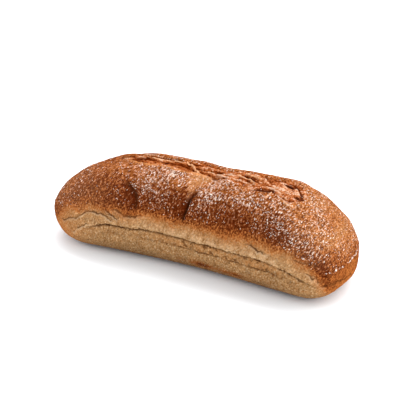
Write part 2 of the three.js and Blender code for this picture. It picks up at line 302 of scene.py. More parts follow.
@dataclass(frozen=True)
class Crease:
    """A crease along a flank: a lip over a ragged groove, with a crumbly band under it.

    The groove's widths are shares of groove_width, and the band's edges are counted from the
    band's foot and from the groove.
    """

    side: Side
    height: float
    left: float
    right: float
    droop: float
    sag: float = 0.0
    seed: int = 11
    droop_power: float = 5.0
    droop_most: float = 1.1
    sag_at: float = 25.0
    sag_width: float = 42.0
    wander: tuple[Ripple, ...] = (Ripple(0.5, 16.0), Ripple(0.4, 4.0, 1))
    right_stretch: float = 0.08
    end_fade: Span = (0.8, 1.08)
    lip: float = 0.8
    lip_up: float = 3.0
    lip_width: float = 3.0
    groove: float = 1.5
    groove_width: float = 0.6
    groove_over: float = 0.6
    groove_under: float = 1.2
    pinch: Ripple = Ripple(0.45, 7.0, 3)
    opening: Ripple = Ripple(0.8, 9.0, 6)
    open_middle: float = 0.65
    open_limits: Span = (0.1, 1.1)
    recess: float = 0.8
    band: float = 5.6
    band_foot: Span = (-1.0, 0.4)
    band_top: Span = (-0.6, 0.3)
    ragged: Ripple = Ripple(0.8, 5.0, 2)
    crumbs: Ripple = Ripple(0.6, 3.0, 4, 2)

    def reach(self, x: Array) -> Array:
        """Share of the way from the middle to the crease's end."""
        return np.abs(x) / np.where(x < 0, self.left, self.right)

    def above(self, p: Array) -> Array:
        """Height over the crease's line, which sags, droops towards its ends and wanders.

        Args:
            p: Points of the bare form.

        Returns:
            Heights, below zero under the line.
        """
        x = p[..., 0]
        droop = self.droop * np.minimum(self.reach(x), self.droop_most) ** self.droop_power
        line = self.height - droop - self.sag * bell((x - self.sag_at) / self.sag_width)
        return p[..., 2] - line - np.sum([part.along(x, self.seed) for part in self.wander], axis=0)

    def share(self, p: Array) -> Array:
        """1 along the crease, fading out at its ends and on the other side.

        Args:
            p: Points of the bare form.

        Returns:
            Shares from 0 to 1.
        """
        x = p[..., 0]
        past = self.reach(x) - np.where(x < 0, 0, self.right_stretch)
        return self.side.holds(p[..., 1]) * (1 - smooth(past, *self.end_fade))

    def band_share(self, p: Array) -> Array:
        """1 in the crumbly band under the groove.

        Args:
            p: Points of the bare form.

        Returns:
            Shares from 0 to 1.
        """
        above = self.above(p)
        over_foot = above + self.ragged.at(p, self.seed) + self.band
        in_band = smooth(over_foot, *self.band_foot) * (1 - smooth(above, *self.band_top))
        return in_band * self.share(p)

    def groove_share(self, p: Array) -> Array:
        """1 in the groove, thinner where its edges meet again.

        Args:
            p: Points of the bare form.

        Returns:
            Shares from 0 to about 1.
        """
        x, above = p[..., 0], self.above(p)
        width = self.groove_width * (1 + self.pinch.along(x, self.seed))
        opening = np.clip(self.open_middle + self.opening.along(x, self.seed), *self.open_limits)
        across = above / (width * np.where(above > 0, self.groove_over, self.groove_under))
        return bell(across) * self.share(p) * opening

    def relief(self, p: Array) -> Array:
        """Lip minus groove minus recess, with crumbs standing in the band.

        Args:
            p: Points of the bare form.

        Returns:
            Heights over the bare form.
        """
        lip = self.lip * bell((self.above(p) - self.lip_up) / self.lip_width) * self.share(p)
        band = self.band_share(p) * (self.crumbs.at(p, self.seed) - self.recess)
        return lip - self.groove * self.groove_share(p) + band


@dataclass(frozen=True)
class Strand:
    """A strand of dough on the crown through points given as x and y, or a split if it sinks."""

    path: tuple[Place, ...]
    rise: float
    width: float
    seed: int
    tone: float = 1.0
    sideways: Ripple = Ripple(0.5, 4.0)
    waver: Ripple = Ripple(0.5, 6.0, 1)
    waver_limits: Span = (0.55, 1.5)

    def relief(self, p: Array) -> Array:
        """A bell across the path, which wavers sideways and in height.

        Args:
            p: Points of the bare form.

        Returns:
            Heights over the bare form.
        """
        place = p[..., :2] + self.sideways.at(p, self.seed)[..., None]
        waver = np.clip(1 + self.waver.at(p, self.seed), *self.waver_limits)
        return self.rise * waver * bell(path_gap(place, self.path) / self.width)


@dataclass(frozen=True)
class Tear:
    """The opening along the crown: raised lips, gutters inside them and stretched dough between.

    Distances from the edge are above zero outside the opening.
    """

    left: float = -68.0
    right: float = 72.0
    left_round: float = 28.0
    right_round: float = 13.0
    front_lip: tuple[Place, ...] = (
        (-60, -0.8), (-42, -4.0), (-33, -5.2), (-24, -4.4), (-12, -6.0), (10, -5.8), (21, -5.8),
        (29, -8.0), (40, -11.8), (46, -10.4), (54, -9.6), (65, -14.5), (74, -13.0),
    )
    back_lip: tuple[Place, ...] = ((-60, 8.0), (-30, 8.0), (10, 9.5), (50, 11.0))
    ragged: tuple[Ripple, ...] = (Ripple(0.8, (6, 4, 4)), Ripple(0.4, 1.8, 1))
    floor_height: float = 16.6
    floor_outside: float = 50.0
    inside_edge: Span = (-0.2, 1.2)
    edge_out: float = 0.9
    edge_width: float = 1.1
    edge_start: Span = (-66.0, -58.0)
    edge_end: Span = (2.0, 16.0)
    lip_rise: float = 0.6
    lip_out: float = 1.6
    lip_width: float = 2.4
    gutter_depth: float = 0.7
    gutter_in: float = 1.1
    gutter_width: float = 1.1
    gutter_open: float = 0.55
    gutter_swing: Ripple = Ripple(0.75, (16, 9, 9), 5)
    gutter_limits: Span = (0.05, 1.2)
    sag: float = 0.6
    sag_edge: Span = (0.0, 2.5)
    sag_return: float = 0.7
    sag_middle: Span = (2.0, 7.0)
    dough_edge: Span = (-0.6, 1.6)
    dough_lean: float = 0.12
    dough_drift: Ripple = Ripple(1.6, 9.0, 6)
    flap_rise: float = 1.1
    flap_steps: float = 2.5
    flap_waves: Ripple = Ripple(1.0, (19, 4.4, 10), 2)
    strand_rise: float = 0.6
    strand_waves: Ripple = Ripple(2.4, (5, 2.1, 4), 3)
    strand_level: float = 0.3
    pit_depth: float = 0.8
    pit_waves: Ripple = Ripple(1.0, (5, 2.4, 5), 4)
    pit_edge: Span = (0.36, 0.6)
    seed: int = 31
    strands: tuple[Strand, ...] = (
        Strand(
            ((-58, 2.0), (-44, 2.6), (-36, 2.8), (-28.6, 3.4), (-19, 3.9), (-13, 5.5)),
            0.5, 0.5, 301, 3.2,
        ),
        Strand(((-60, 1.6), (-52, 0.8), (-44, 0.7), (-32, 0.9), (-24, 1.4)), -1.0, 1.1, 303, 2.0),
        Strand(((-46, 4.8), (-36, 5.4), (-27, 6.8), (-18, 8.4)), -1.4, 1.2, 335, 1.7),
        Strand(((-44, 7.0), (-35, 7.6), (-26, 8.8), (-17, 10.0)), 0.7, 0.5, 337, 1.4),
        Strand(((-42, 9.0), (-34, 9.8), (-26, 10.8), (-18, 12)), -1.3, 1.4, 305, 1.7),
        Strand(((-24, 0.6), (-16, 0.8), (-9, 0.2), (-3, -1.2)), -1.3, 2.1, 323, 0.9),
        Strand(((-11.5, 6), (-5.3, 2.2), (1.6, -4.8)), 1.3, 0.5, 307, 2.4),
        Strand(((-2, 2.5), (6, 0.6), (14, 1.0)), -1.2, 1.1, 325, 1.0),
        Strand(((4, -0.4), (13, -2.7), (20.4, -4.1)), 0.5, 0.6, 313, 2.0),
        Strand(((13.0, -6.6), (15.6, -5.6), (18.6, -4.9)), -1.3, 1.5, 341, 1.9),
        Strand(((20.4, -5.5), (28.6, -7.8), (33.6, -9.5), (37.4, -11.2)), -0.8, 1.8, 327, 0.6),
        Strand(((31, 1.5), (37, 1.0), (42, 1.3)), 1.3, 0.6, 315),
        Strand(((30, -0.3), (36, -0.9), (42, -2.4)), -1.4, 0.8, 309),
        Strand(((28, -1.9), (34.6, -2.8), (40, -5.3)), 1.4, 0.6, 329),
        Strand(((41.7, 8.5), (44.2, 6), (47.4, 2.4)), -2.0, 0.9, 311),
        Strand(((40.0, -10.8), (44, -8.7), (52, -7.3)), -1.9, 1.3, 317, 1.6),
        Strand(((51.8, -7.5), (52.3, -11), (51.5, -14.8)), 1.0, 0.45, 319, 2.5),
        Strand(((53.4, -8.4), (57.5, -10.3), (61, -12)), -1.4, 0.8, 331),
        Strand(((55.5, -10.8), (60, -13.2), (65, -15.8), (68.2, -15.4)), 0.9, 0.6, 343, 1.3),
        Strand(((57.2, 5.2), (61.6, 4.2)), -3.0, 1.5, 333, 2.2),
        Strand(((61.2, 9.3), (66.3, 3.4), (69.4, -1.5), (70.8, -5.5)), -1.3, 0.9, 321, 1.9),
    )

    def span(self, x: Array) -> tuple[Array, Array]:
        """Middle and half-width of the opening at x, between lips of straight legs."""
        front, back = (np.interp(x, *np.transpose(lip)) for lip in (self.front_lip, self.back_lip))
        return (front + back) / 2, (back - front) / 2

    def outside(self, p: Array) -> Array:
        """Distance outside the opening's edge, a strip with two elliptic ends.

        Args:
            p: Points of the bare form.

        Returns:
            Distances, below zero inside the opening.
        """
        x, y = p[..., 0], p[..., 1]
        middle, half = self.span(x)
        across = (y - middle) / half
        rounding = np.where(x < 0, self.left_round, self.right_round)
        past = np.where(x < 0, self.left + rounding - x, x - self.right + rounding)
        along = np.maximum(past, 0) / rounding
        reach = np.maximum(np.hypot(across, along), TINY)
        distance = (reach - 1) * (half * across**2 + rounding * along**2) / reach**2
        ragged = np.sum([part.at(p, self.seed) for part in self.ragged], axis=0)
        return np.where(p[..., 2] < self.floor_height, self.floor_outside, distance + ragged)

    def inside_share(self, p: Array) -> Array:
        """1 on the dough inside the lips, 0 outside."""
        return smooth(-self.outside(p), *self.inside_edge)

    def lip_highlight_share(self, p: Array) -> Array:
        """1 along the thin upper edge of the front lip, left of the middle, where a highlight is
        painted.

        Args:
            p: Points of the bare form.

        Returns:
            Shares from 0 to 1.
        """
        x = p[..., 0]
        middle, _ = self.span(x)
        front = (p[..., 1] < middle).astype(float)
        along = smooth(x, *self.edge_start) * (1 - smooth(x, *self.edge_end))
        return bell((self.outside(p) - self.edge_out) / self.edge_width) * front * along

    def dough(self, p: Array) -> Array:
        """Height of the torn dough: flaps in steps, strands along them, and deep pits.

        The waves are stretched along the roll. A strand stands where its wave is near zero.

        Args:
            p: Points of the bare form.

        Returns:
            Heights around zero.
        """
        lean = p @ np.array([[1, self.dough_lean, 0], [-self.dough_lean, 1, 0], [0, 0, 1]])
        lean[..., 1] += self.dough_drift.at(p, self.seed)
        flaps = terraced(self.flap_waves.at(lean, self.seed), self.flap_steps)
        strands = 1 - np.abs(self.strand_waves.at(lean, self.seed)) - self.strand_level
        pits = smooth(self.pit_waves.at(lean, self.seed), *self.pit_edge)
        return self.flap_rise * flaps + self.strand_rise * strands - self.pit_depth * pits

    def strand_height(self, p: Array) -> Array:
        """Height of all the strands, below zero in the splits."""
        heights = [strand.relief(p) for strand in self.strands]
        return np.sum(heights, axis=0) * (p[..., 2] > self.floor_height)

    def strand_tone(self, p: Array) -> Array:
        """Height of all the strands, each times its tone: painted highlight above zero and painted
        shade below.
        """
        tones = [strand.tone * strand.relief(p) for strand in self.strands]
        return np.sum(tones, axis=0) * (p[..., 2] > self.floor_height)

    def relief(self, p: Array) -> Array:
        """Lip, less a broken gutter and a sag that rises again to the middle, with torn dough.

        Args:
            p: Points of the bare form.

        Returns:
            Heights over the bare form.
        """
        outside = self.outside(p)
        lip = self.lip_rise * bell((outside - self.lip_out) / self.lip_width)
        opening = np.clip(self.gutter_open + self.gutter_swing.at(p, self.seed), *self.gutter_limits)
        gutter = self.gutter_depth * bell((outside + self.gutter_in) / self.gutter_width) * opening
        sag = self.sag * smooth(-outside, *self.sag_edge)
        sag = sag * (1 - self.sag_return * smooth(-outside, *self.sag_middle))
        dough = smooth(-outside, *self.dough_edge) * self.dough(p)
        return lip - gutter - sag + dough + self.strand_height(p)


@dataclass(frozen=True)
class Fold:
    """A fold down a shoulder: dough that stands proud on its right over a hollow on its left."""

    side: Side
    x: float
    lean: float
    lean_from: float
    lean_to: float
    low: float
    high: float
    depth: float
    spread: float
    slit: float
    rim_rise: float = 0.8
    rim_width: float = 1.6
    rim_out: float = 2.0
    rim_spread: float = 17.0
    slit_width: float = 0.7
    slit_foot: float = 4.0
    slit_top: Span = (-11.0, -4.0)
    slant: float = 0.0
    foot_fade: float = 8.0
    top_fade: float = 6.0
    wander: Ripple = Ripple(0.8, 7.0)
    seed: int = 51

    def beside(self, p: Array) -> Array:
        """Distance along X from the fold's line, which slants below its bend and leans above it.

        Args:
            p: Points of the bare form.

        Returns:
            Distances, below zero on the left.
        """
        z = p[..., 2]
        line = self.x + self.lean * smooth(z, self.lean_from, self.lean_to)
        line = line + self.slant * np.minimum(z - self.lean_from, 0)
        return p[..., 0] - line - self.wander.at(p, self.seed)

    def span(self, p: Array) -> Array:
        """1 between the fold's foot and its top.

        Args:
            p: Points of the bare form.

        Returns:
            Shares from 0 to 1.
        """
        z = p[..., 2]
        foot = smooth(z, self.low, self.low + self.foot_fade)
        top = smooth(z, self.high - self.top_fade, self.high)
        return foot * (1 - top) * self.side.holds(p[..., 1])

    def slit_share(self, p: Array) -> Array:
        """1 in the sharp slit along the fold's foot.

        Args:
            p: Points of the bare form.

        Returns:
            Shares from 0 to 1.
        """
        z = p[..., 2]
        tall = smooth(z, self.low, self.low + self.slit_foot)
        tall = tall * (1 - smooth(z - self.high, *self.slit_top))
        return bell(self.beside(p) / self.slit_width) * tall * self.side.holds(p[..., 1])

    def hollow_share(self, p: Array) -> Array:
        """1 in the hollow on the left of the fold, falling away from it."""
        beside = self.beside(p)
        return self.span(p) * bell(beside / np.where(beside < 0, self.spread, self.rim_width))

    def relief(self, p: Array) -> Array:
        """Rim less hollow less slit.

        Args:
            p: Points of the bare form.

        Returns:
            Heights over the bare form.
        """
        beside = self.beside(p)
        past = (beside - self.rim_out * self.rim_width) / self.rim_spread
        rim = np.where(beside > 0, self.rim_rise * bell(past), 0)
        return self.span(p) * rim - self.depth * self.hollow_share(p) - self.slit * self.slit_share(p)


@dataclass(frozen=True)
class Swelling:
    """A swelling of the dough round a point, or a hollow where the rise is below zero."""

    at: Point
    radius: float
    rise: float

    def relief(self, p: Array) -> Array:
        """A bell of the distance from the point."""
        return self.rise * bell(np.linalg.norm(p - np.array(self.at), axis=-1) / self.radius)


@dataclass(frozen=True)
class Crack:
    """A jagged split along a flank, through points given as x and z."""

    side: Side
    path: tuple[Place, ...]
    depth: float = 0.6
    width: float = 0.6
    split_under: float = 0.6
    split_over: float = 1.3
    edge_rise: float = 0.35
    edge_down: float = 1.0
    edge_width: float = 1.3
    jag: tuple[Ripple, Ripple] = (Ripple(0.9, 3.0), Ripple(0.9, 2.2, 1))
    seed: int = 71

    def distance(self, p: Array) -> Array:
        """Signed distance from the path in x and z, above zero over it, with a jagged offset.

        Args:
            p: Points of the bare form.

        Returns:
            Distances, far on the other side of the roll.
        """
        jag = np.stack([part.at(p, self.seed) for part in self.jag], axis=-1)
        gap = path_gap(p[..., [0, 2]] + jag, self.path)
        return np.where(self.side.holds(p[..., 1]) > 0, gap, FAR)

    def relief(self, p: Array) -> Array:
        """A thin split over a lifted lower edge.

        Args:
            p: Points of the bare form.

        Returns:
            Heights over the bare form.
        """
        distance = self.distance(p)
        width = self.width * np.where(distance < 0, self.split_under, self.split_over)
        lifted = bell((distance + self.edge_down) / self.edge_width)
        edge = self.edge_rise * np.where(distance < 0, lifted, 0)
        return edge - self.depth * bell(distance / width)


@dataclass(frozen=True)
class Ledge:
    """A ledge round the right tip, below which the crust lies a little lower."""

    height: float = 23.6
    start: float = 80.0
    end: float = 97.0
    step: float = 0.6
    width: float = 0.9
    fade: Span = (6.0, 16.0)
    wander: Ripple = Ripple(0.8, 9.0, 91)

    def below(self, p: Array) -> Array:
        """Distance below the ledge's edge, which wanders a little."""
        return self.height + self.wander.at(p) - p[..., 2]

    def share(self, p: Array) -> Array:
        """1 round the right tip."""
        return smooth(p[..., 0], self.start, self.end)

    def relief(self, p: Array) -> Array:
        """A step down that fades out before the base.

        Args:
            p: Points of the bare form.

        Returns:
            Heights over the bare form.
        """
        below = self.below(p)
        step = self.step * smooth(below, 0, self.width) * (1 - smooth(below, *self.fade))
        return -step * self.share(p)


@dataclass(frozen=True)
class Wave:
    """A broad wave left by hand shaping: a sine over x, y and z that dies out at the base."""

    rise: float
    along: float
    across: float
    up: float
    phase: float
    foot_fade: Span = (8.0, 28.0)

    def relief(self, p: Array) -> Array:
        """The sine's height.

        Args:
            p: Points of the bare form.

        Returns:
            Heights over the bare form.
        """
        x, y, z = np.moveaxis(p, -1, 0)
        turns = x / self.along + y / self.across + z / self.up
        return self.rise * np.sin(2 * np.pi * turns + self.phase) * smooth(z, *self.foot_fade)


@dataclass(frozen=True)
class Shape:
    """All the relief that shaping and baking left on the roll."""

    creases: tuple[Crease, ...] = (
        Crease(Side.FRONT, 25.2, 68, 84, 7.5, sag=1.3, seed=11),
        Crease(Side.BACK, 24.0, 82, 76, 7.0, seed=21),
    )
    tear: Tear = Tear()
    folds: tuple[Fold, ...] = (
        Fold(
            Side.FRONT, -32.4, -11, 46, 55, 28, 56, 1.9, 9, 0.12,
            rim_width=1.0, slant=-0.12, foot_fade=18, seed=51,
        ),
        Fold(Side.FRONT, 4.2, 10, 49, 60, 34, 57, 2.2, 7, 2.2, slant=0.24, seed=53),
        Fold(Side.BACK, -14, 8, 44, 55, 34, 57, 2.0, 12, 1.2, seed=55),
        Fold(Side.BACK, 36, -9, 45, 56, 36, 58, 2.2, 9, 0.6, seed=57),
    )
    swellings: tuple[Swelling, ...] = (
        Swelling((-80, 9, 48), 10, -1.1),
        Swelling((-96, -10, 37), 9, 1.3),
        Swelling((-96, -25, 11), 7, -0.7),
        Swelling((-21, 19, 56), 9, 1.2),
        Swelling((10, 21, 56), 9, -2.6),
        Swelling((33, 16, 59), 12, -1.2),
        Swelling((58, 20, 55), 14, 1.4),
        Swelling((84, 21, 46), 12, -1.5),
        Swelling((96, 20, 33), 12, -1.25),
        Swelling((104, 3, 12), 9, 0.6),
        Swelling((86, -27, 6), 11, 1.0),
        Swelling((101, -16, 7), 9, -1.1),
        Swelling((-77, -28, 6), 13, 1.2),
        Swelling((97, -28, 15), 6, -1.7),
        Swelling((14.5, -9.8, 58.5), 4.5, -1.5),
        Swelling((47, -12.5, 58.5), 5.5, -0.8),
        Swelling((17, 9, 59), 6, -1.2),
        Swelling((84.7, -13.6, 47.4), 1.9, -1.0),
        Swelling((78.5, -3.7, 51.7), 2.2, -0.7),
    )
    cracks: tuple[Crack, ...] = (
        Crack(
            Side.FRONT,
            (
                (-86, 19), (-82.4, 21.6), (-75, 23.6), (-70.6, 27),
                (-67.5, 29.9), (-61, 30.6), (-53.7, 30.3), (-49, 27.8),
            ),
            seed=71,
        ),
        Crack(Side.FRONT, ((-66.5, 21.6), (-72.5, 17.9), (-77, 13.8)), 0.35, seed=147),
        Crack(Side.FRONT, ((-51.8, 33.7), (-48, 31.2), (-44.8, 29.6)), 0.4, seed=73),
        Crack(Side.FRONT, ((-45, 35), (-39, 32.5), (-32, 32.6), (-28, 34)), 0.5, seed=75),
        Crack(Side.FRONT, ((78, 30), (84, 29.8), (89, 28.6)), 0.4, seed=79),
        Crack(Side.FRONT, ((94, 14.6), (98.4, 14.4), (101.4, 15.6), (103.4, 15.2)), 0.6, seed=83),
        Crack(Side.FRONT, ((48, 31.6), (53.7, 29.5), (58.6, 29)), 0.4, seed=141),
        Crack(Side.FRONT, ((85.6, 23.2), (88.6, 19.9)), 0.4, seed=143),
        Crack(Side.FRONT, ((89.1, 22.4), (92.2, 17.8)), 0.4, seed=145),
        Crack(Side.BACK, ((-70, 27), (-58, 30), (-44, 29)), 0.5, seed=85),
        Crack(Side.BACK, ((30, 31), (44, 33), (60, 30)), 0.5, seed=87),
    )
    ledge: Ledge = Ledge()
    waves: tuple[Wave, ...] = (
        Wave(0.5, 63, 58, 90, 0.7),
        Wave(0.4, 37, -71, 52, 2.1),
        Wave(0.25, -24, 41, 33, 4.0),
    )
    crumbly_left: float = 0.2
    crumbly_start: Span = (-35.0, 5.0)
    crumbly_end: Span = (58.0, 74.0)
    crack_hold: float = 6.0

    def relief(self, p: Array) -> Array:
        """Distance that each point of the bare form moved outwards, without the fine crust.

        Args:
            p: Points of the bare form.

        Returns:
            Heights over the bare form.
        """
        lines = (*self.creases, self.tear, *self.folds)
        spots = (*self.swellings, *self.cracks, self.ledge, *self.waves)
        return np.sum([mark.relief(p) for mark in (*lines, *spots)], axis=0)

    def crease_height(self, p: Array) -> Array:
        """Height over the crease on the same side."""
        front, back = self.creases
        return np.where(p[..., 1] < 0, front.above(p), back.above(p))

    def crease_share(self, p: Array) -> Array:
        """1 along either crease."""
        return np.max([crease.share(p) for crease in self.creases], axis=0)

    def crumbly_share(self, p: Array) -> Array:
        """1 along the creases where the dough under them broke into crumbs, less on the left.

        Args:
            p: Points of the bare form.

        Returns:
            Shares from 0 to 1.
        """
        x = p[..., 0]
        start = mix(self.crumbly_left, 1.0, smooth(x, *self.crumbly_start))
        return self.crease_share(p) * start * (1 - smooth(x, *self.crumbly_end))

    def crack_gap(self, p: Array) -> Array:
        """Signed distance from the nearest crack, held near zero.

        Args:
            p: Points of the bare form.

        Returns:
            Distances, above zero over the crack.
        """
        gaps = np.stack([crack.distance(p) for crack in self.cracks])
        nearest = np.argmin(np.abs(gaps), axis=0)[None]
        gap = np.take_along_axis(gaps, nearest, axis=0)[0]
        return np.clip(gap, -self.crack_hold, self.crack_hold)

    def hollow(self, p: Array) -> Array:
        """1 in the hollow beside any fold."""
        return np.max([fold.hollow_share(p) for fold in self.folds], axis=0)


@dataclass(frozen=True)
class Patch:
    """A soft patch of the crust round a point, with a radius along each axis."""

    at: Point
    radii: Point

    def share(self, p: Array) -> Array:
        """1 at the point, falling away by a bell."""
        gap = (p - np.array(self.at)) / np.array(self.radii)
        return bell(np.linalg.norm(gap, axis=-1))


@dataclass(frozen=True)
class Valley:
    """The smooth valley that narrows from the tear down to the second front fold.

    Its middle and its half-width are given at one y, and each changes by a slope from there.
    """

    y: float = -16.0
    middle: float = 3.5
    middle_slope: float = 0.25
    half: float = 3.5
    half_slope: float = 0.58
    least_half: float = 1.0
    start: Span = (-25.0, -21.0)
    end: Span = (-8.0, -4.0)
    heights: Span = (44.0, 48.0)

    def share(self, p: Array) -> Array:
        """1 in the valley.

        Args:
            p: Points of the bare form.

        Returns:
            Shares from 0 to 1.
        """
        x, y, z = np.moveaxis(p, -1, 0)
        middle = self.middle + self.middle_slope * (y - self.y)
        half = np.maximum(self.half + self.half_slope * (y - self.y), self.least_half)
        along = smooth(y, *self.start) * (1 - smooth(y, *self.end))
        return bell(((x - middle) / half) ** 2) * along * smooth(z, *self.heights)


@dataclass(frozen=True)
class Bake:
    """How the oven marked the crust, with painted shade in part of the base edge: shares from 0 to 1
    over the surface.
    """

    shape: Shape
    brown_edge: float = 35.8
    brown_reach: float = 99.0
    brown_power: float = 6.0
    edge_drop: Span = (1.3, 0.9)
    edge_drop_along: Span = (8.0, 36.0)
    edge_ragged: Ripple = Ripple(3.0, 14.0, 101, 3)
    change_width: float = 8.0
    change_left: float = 2.0
    change_left_along: Span = (45.0, 85.0)
    change_right: float = 1.5
    change_right_along: Span = (60.0, 88.0)
    change_span: Span = (-1.2, 0.8)
    toast_gain: float = 0.2
    toast_over: float = 8.0
    toast_width: float = 7.0
    toast_left: Span = (-72.0, -45.0)
    toast_right: Span = (25.0, 55.0)
    toast_right_share: float = 0.5
    tip_brown: float = 0.57
    tip_along: Span = (58.0, 96.0)
    crown_fade: float = 0.2
    crown_heights: Span = (46.0, 58.0)
    crown_along: Span = (-72.0, -30.0)
    foot_brown: float = 0.78
    foot_low_share: float = 0.62
    foot_low: Span = (5.0, 16.0)
    foot_along: Span = (88.0, 102.0)
    foot_heights: Span = (20.0, 27.0)
    rim_heights: Span = (1.0, 6.0)
    rim_ragged: Ripple = Ripple(1.6, 9.0, 105, 3)
    band_gain: float = 1.25
    band_height: float = 9.5
    band_slope: float = 0.025
    band_width: float = 2.2
    band_start: Span = (-20.0, 5.0)
    band_end: Span = (36.0, 52.0)
    band_share: float = 0.6
    band_patches: Ripple = Ripple(1.0, 12.0, 106, 2)
    torn_tones: Span = (-0.07, 0.19)
    torn_along: Span = (-12.0, 36.0)

    def over_edge(self, p: Array) -> Array:
        """Height over the edge of the brown crust.

        The edge is brown_edge * sqrt(1 - |x / brown_reach|^brown_power) high, so the tips are
        brown almost to the base.

        Args:
            p: Points of the bare form.

        Returns:
            The height, with a ragged offset.
        """
        x = p[..., 0]
        bow = np.maximum(1 - np.abs(x / self.brown_reach) ** self.brown_power, 0)
        drop = mix(*self.edge_drop, smooth(x, *self.edge_drop_along))
        return p[..., 2] - self.brown_edge * np.sqrt(bow) + drop + self.edge_ragged.at(p)

    def brown(self, p: Array) -> Array:
        """Browning, 0 on the pale flank and 1 on the shoulders, with a broader change at the tips.

        Args:
            p: Points of the bare form.

        Returns:
            Browning, a little over 1 where the crust is toasted.
        """
        x, z = p[..., 0], p[..., 2]
        width = self.change_width + self.change_left * smooth(-x, *self.change_left_along)
        width = width + self.change_right * smooth(x, *self.change_right_along)
        over = self.over_edge(p)
        ends = smooth(x, *self.toast_left) + self.toast_right_share * smooth(x, *self.toast_right)
        toast = self.toast_gain * bell((over - self.toast_over) / self.toast_width) * ends
        crust = smooth(over / width, *self.change_span) * (1 + toast)
        left_tip = self.tip_brown * smooth(-x, *self.tip_along)
        fade = smooth(z, *self.crown_heights) * smooth(x, *self.crown_along)
        lighter = 1 - self.crown_fade * fade
        foot = self.foot_brown * mix(self.foot_low_share, 1.0, smooth(z, *self.foot_low))
        right_foot = self.right_foot(p)
        return np.maximum(crust, left_tip) * lighter * (1 - right_foot) + foot * right_foot

    def right_foot(self, p: Array) -> Array:
        """1 round the foot of the right tip, below its ledge."""
        return smooth(p[..., 0], *self.foot_along) * (1 - smooth(p[..., 2], *self.foot_heights))

    def rim(self, p: Array) -> Array:
        """1 on the edge along the base, darkened partly as toasting and partly as painted shade near
        the floor, and less on a toasted band low on the flank.

        Args:
            p: Points of the bare form.

        Returns:
            Shares from 0 to a little over 1.
        """
        x, z = p[..., 0], p[..., 2]
        # The base edge: partly toasting, partly painted shade where it meets the floor.
        edge = 1 - smooth(z + self.rim_ragged.at(p), *self.rim_heights)
        patches = np.clip(self.band_share + self.band_patches.at(p), 0, 1)
        over = (z - self.band_height + self.band_slope * x) / self.band_width
        along = smooth(x, *self.band_start) * (1 - smooth(x, *self.band_end))
        return np.maximum(edge, self.band_gain * bell(over) * along * patches)

    def torn_light(self, p: Array) -> Array:
        """How much lighter the torn dough is right of the middle, and darker left of it."""
        tone = mix(*self.torn_tones, smooth(p[..., 0], *self.torn_along))
        return tone * self.shape.tear.inside_share(p)


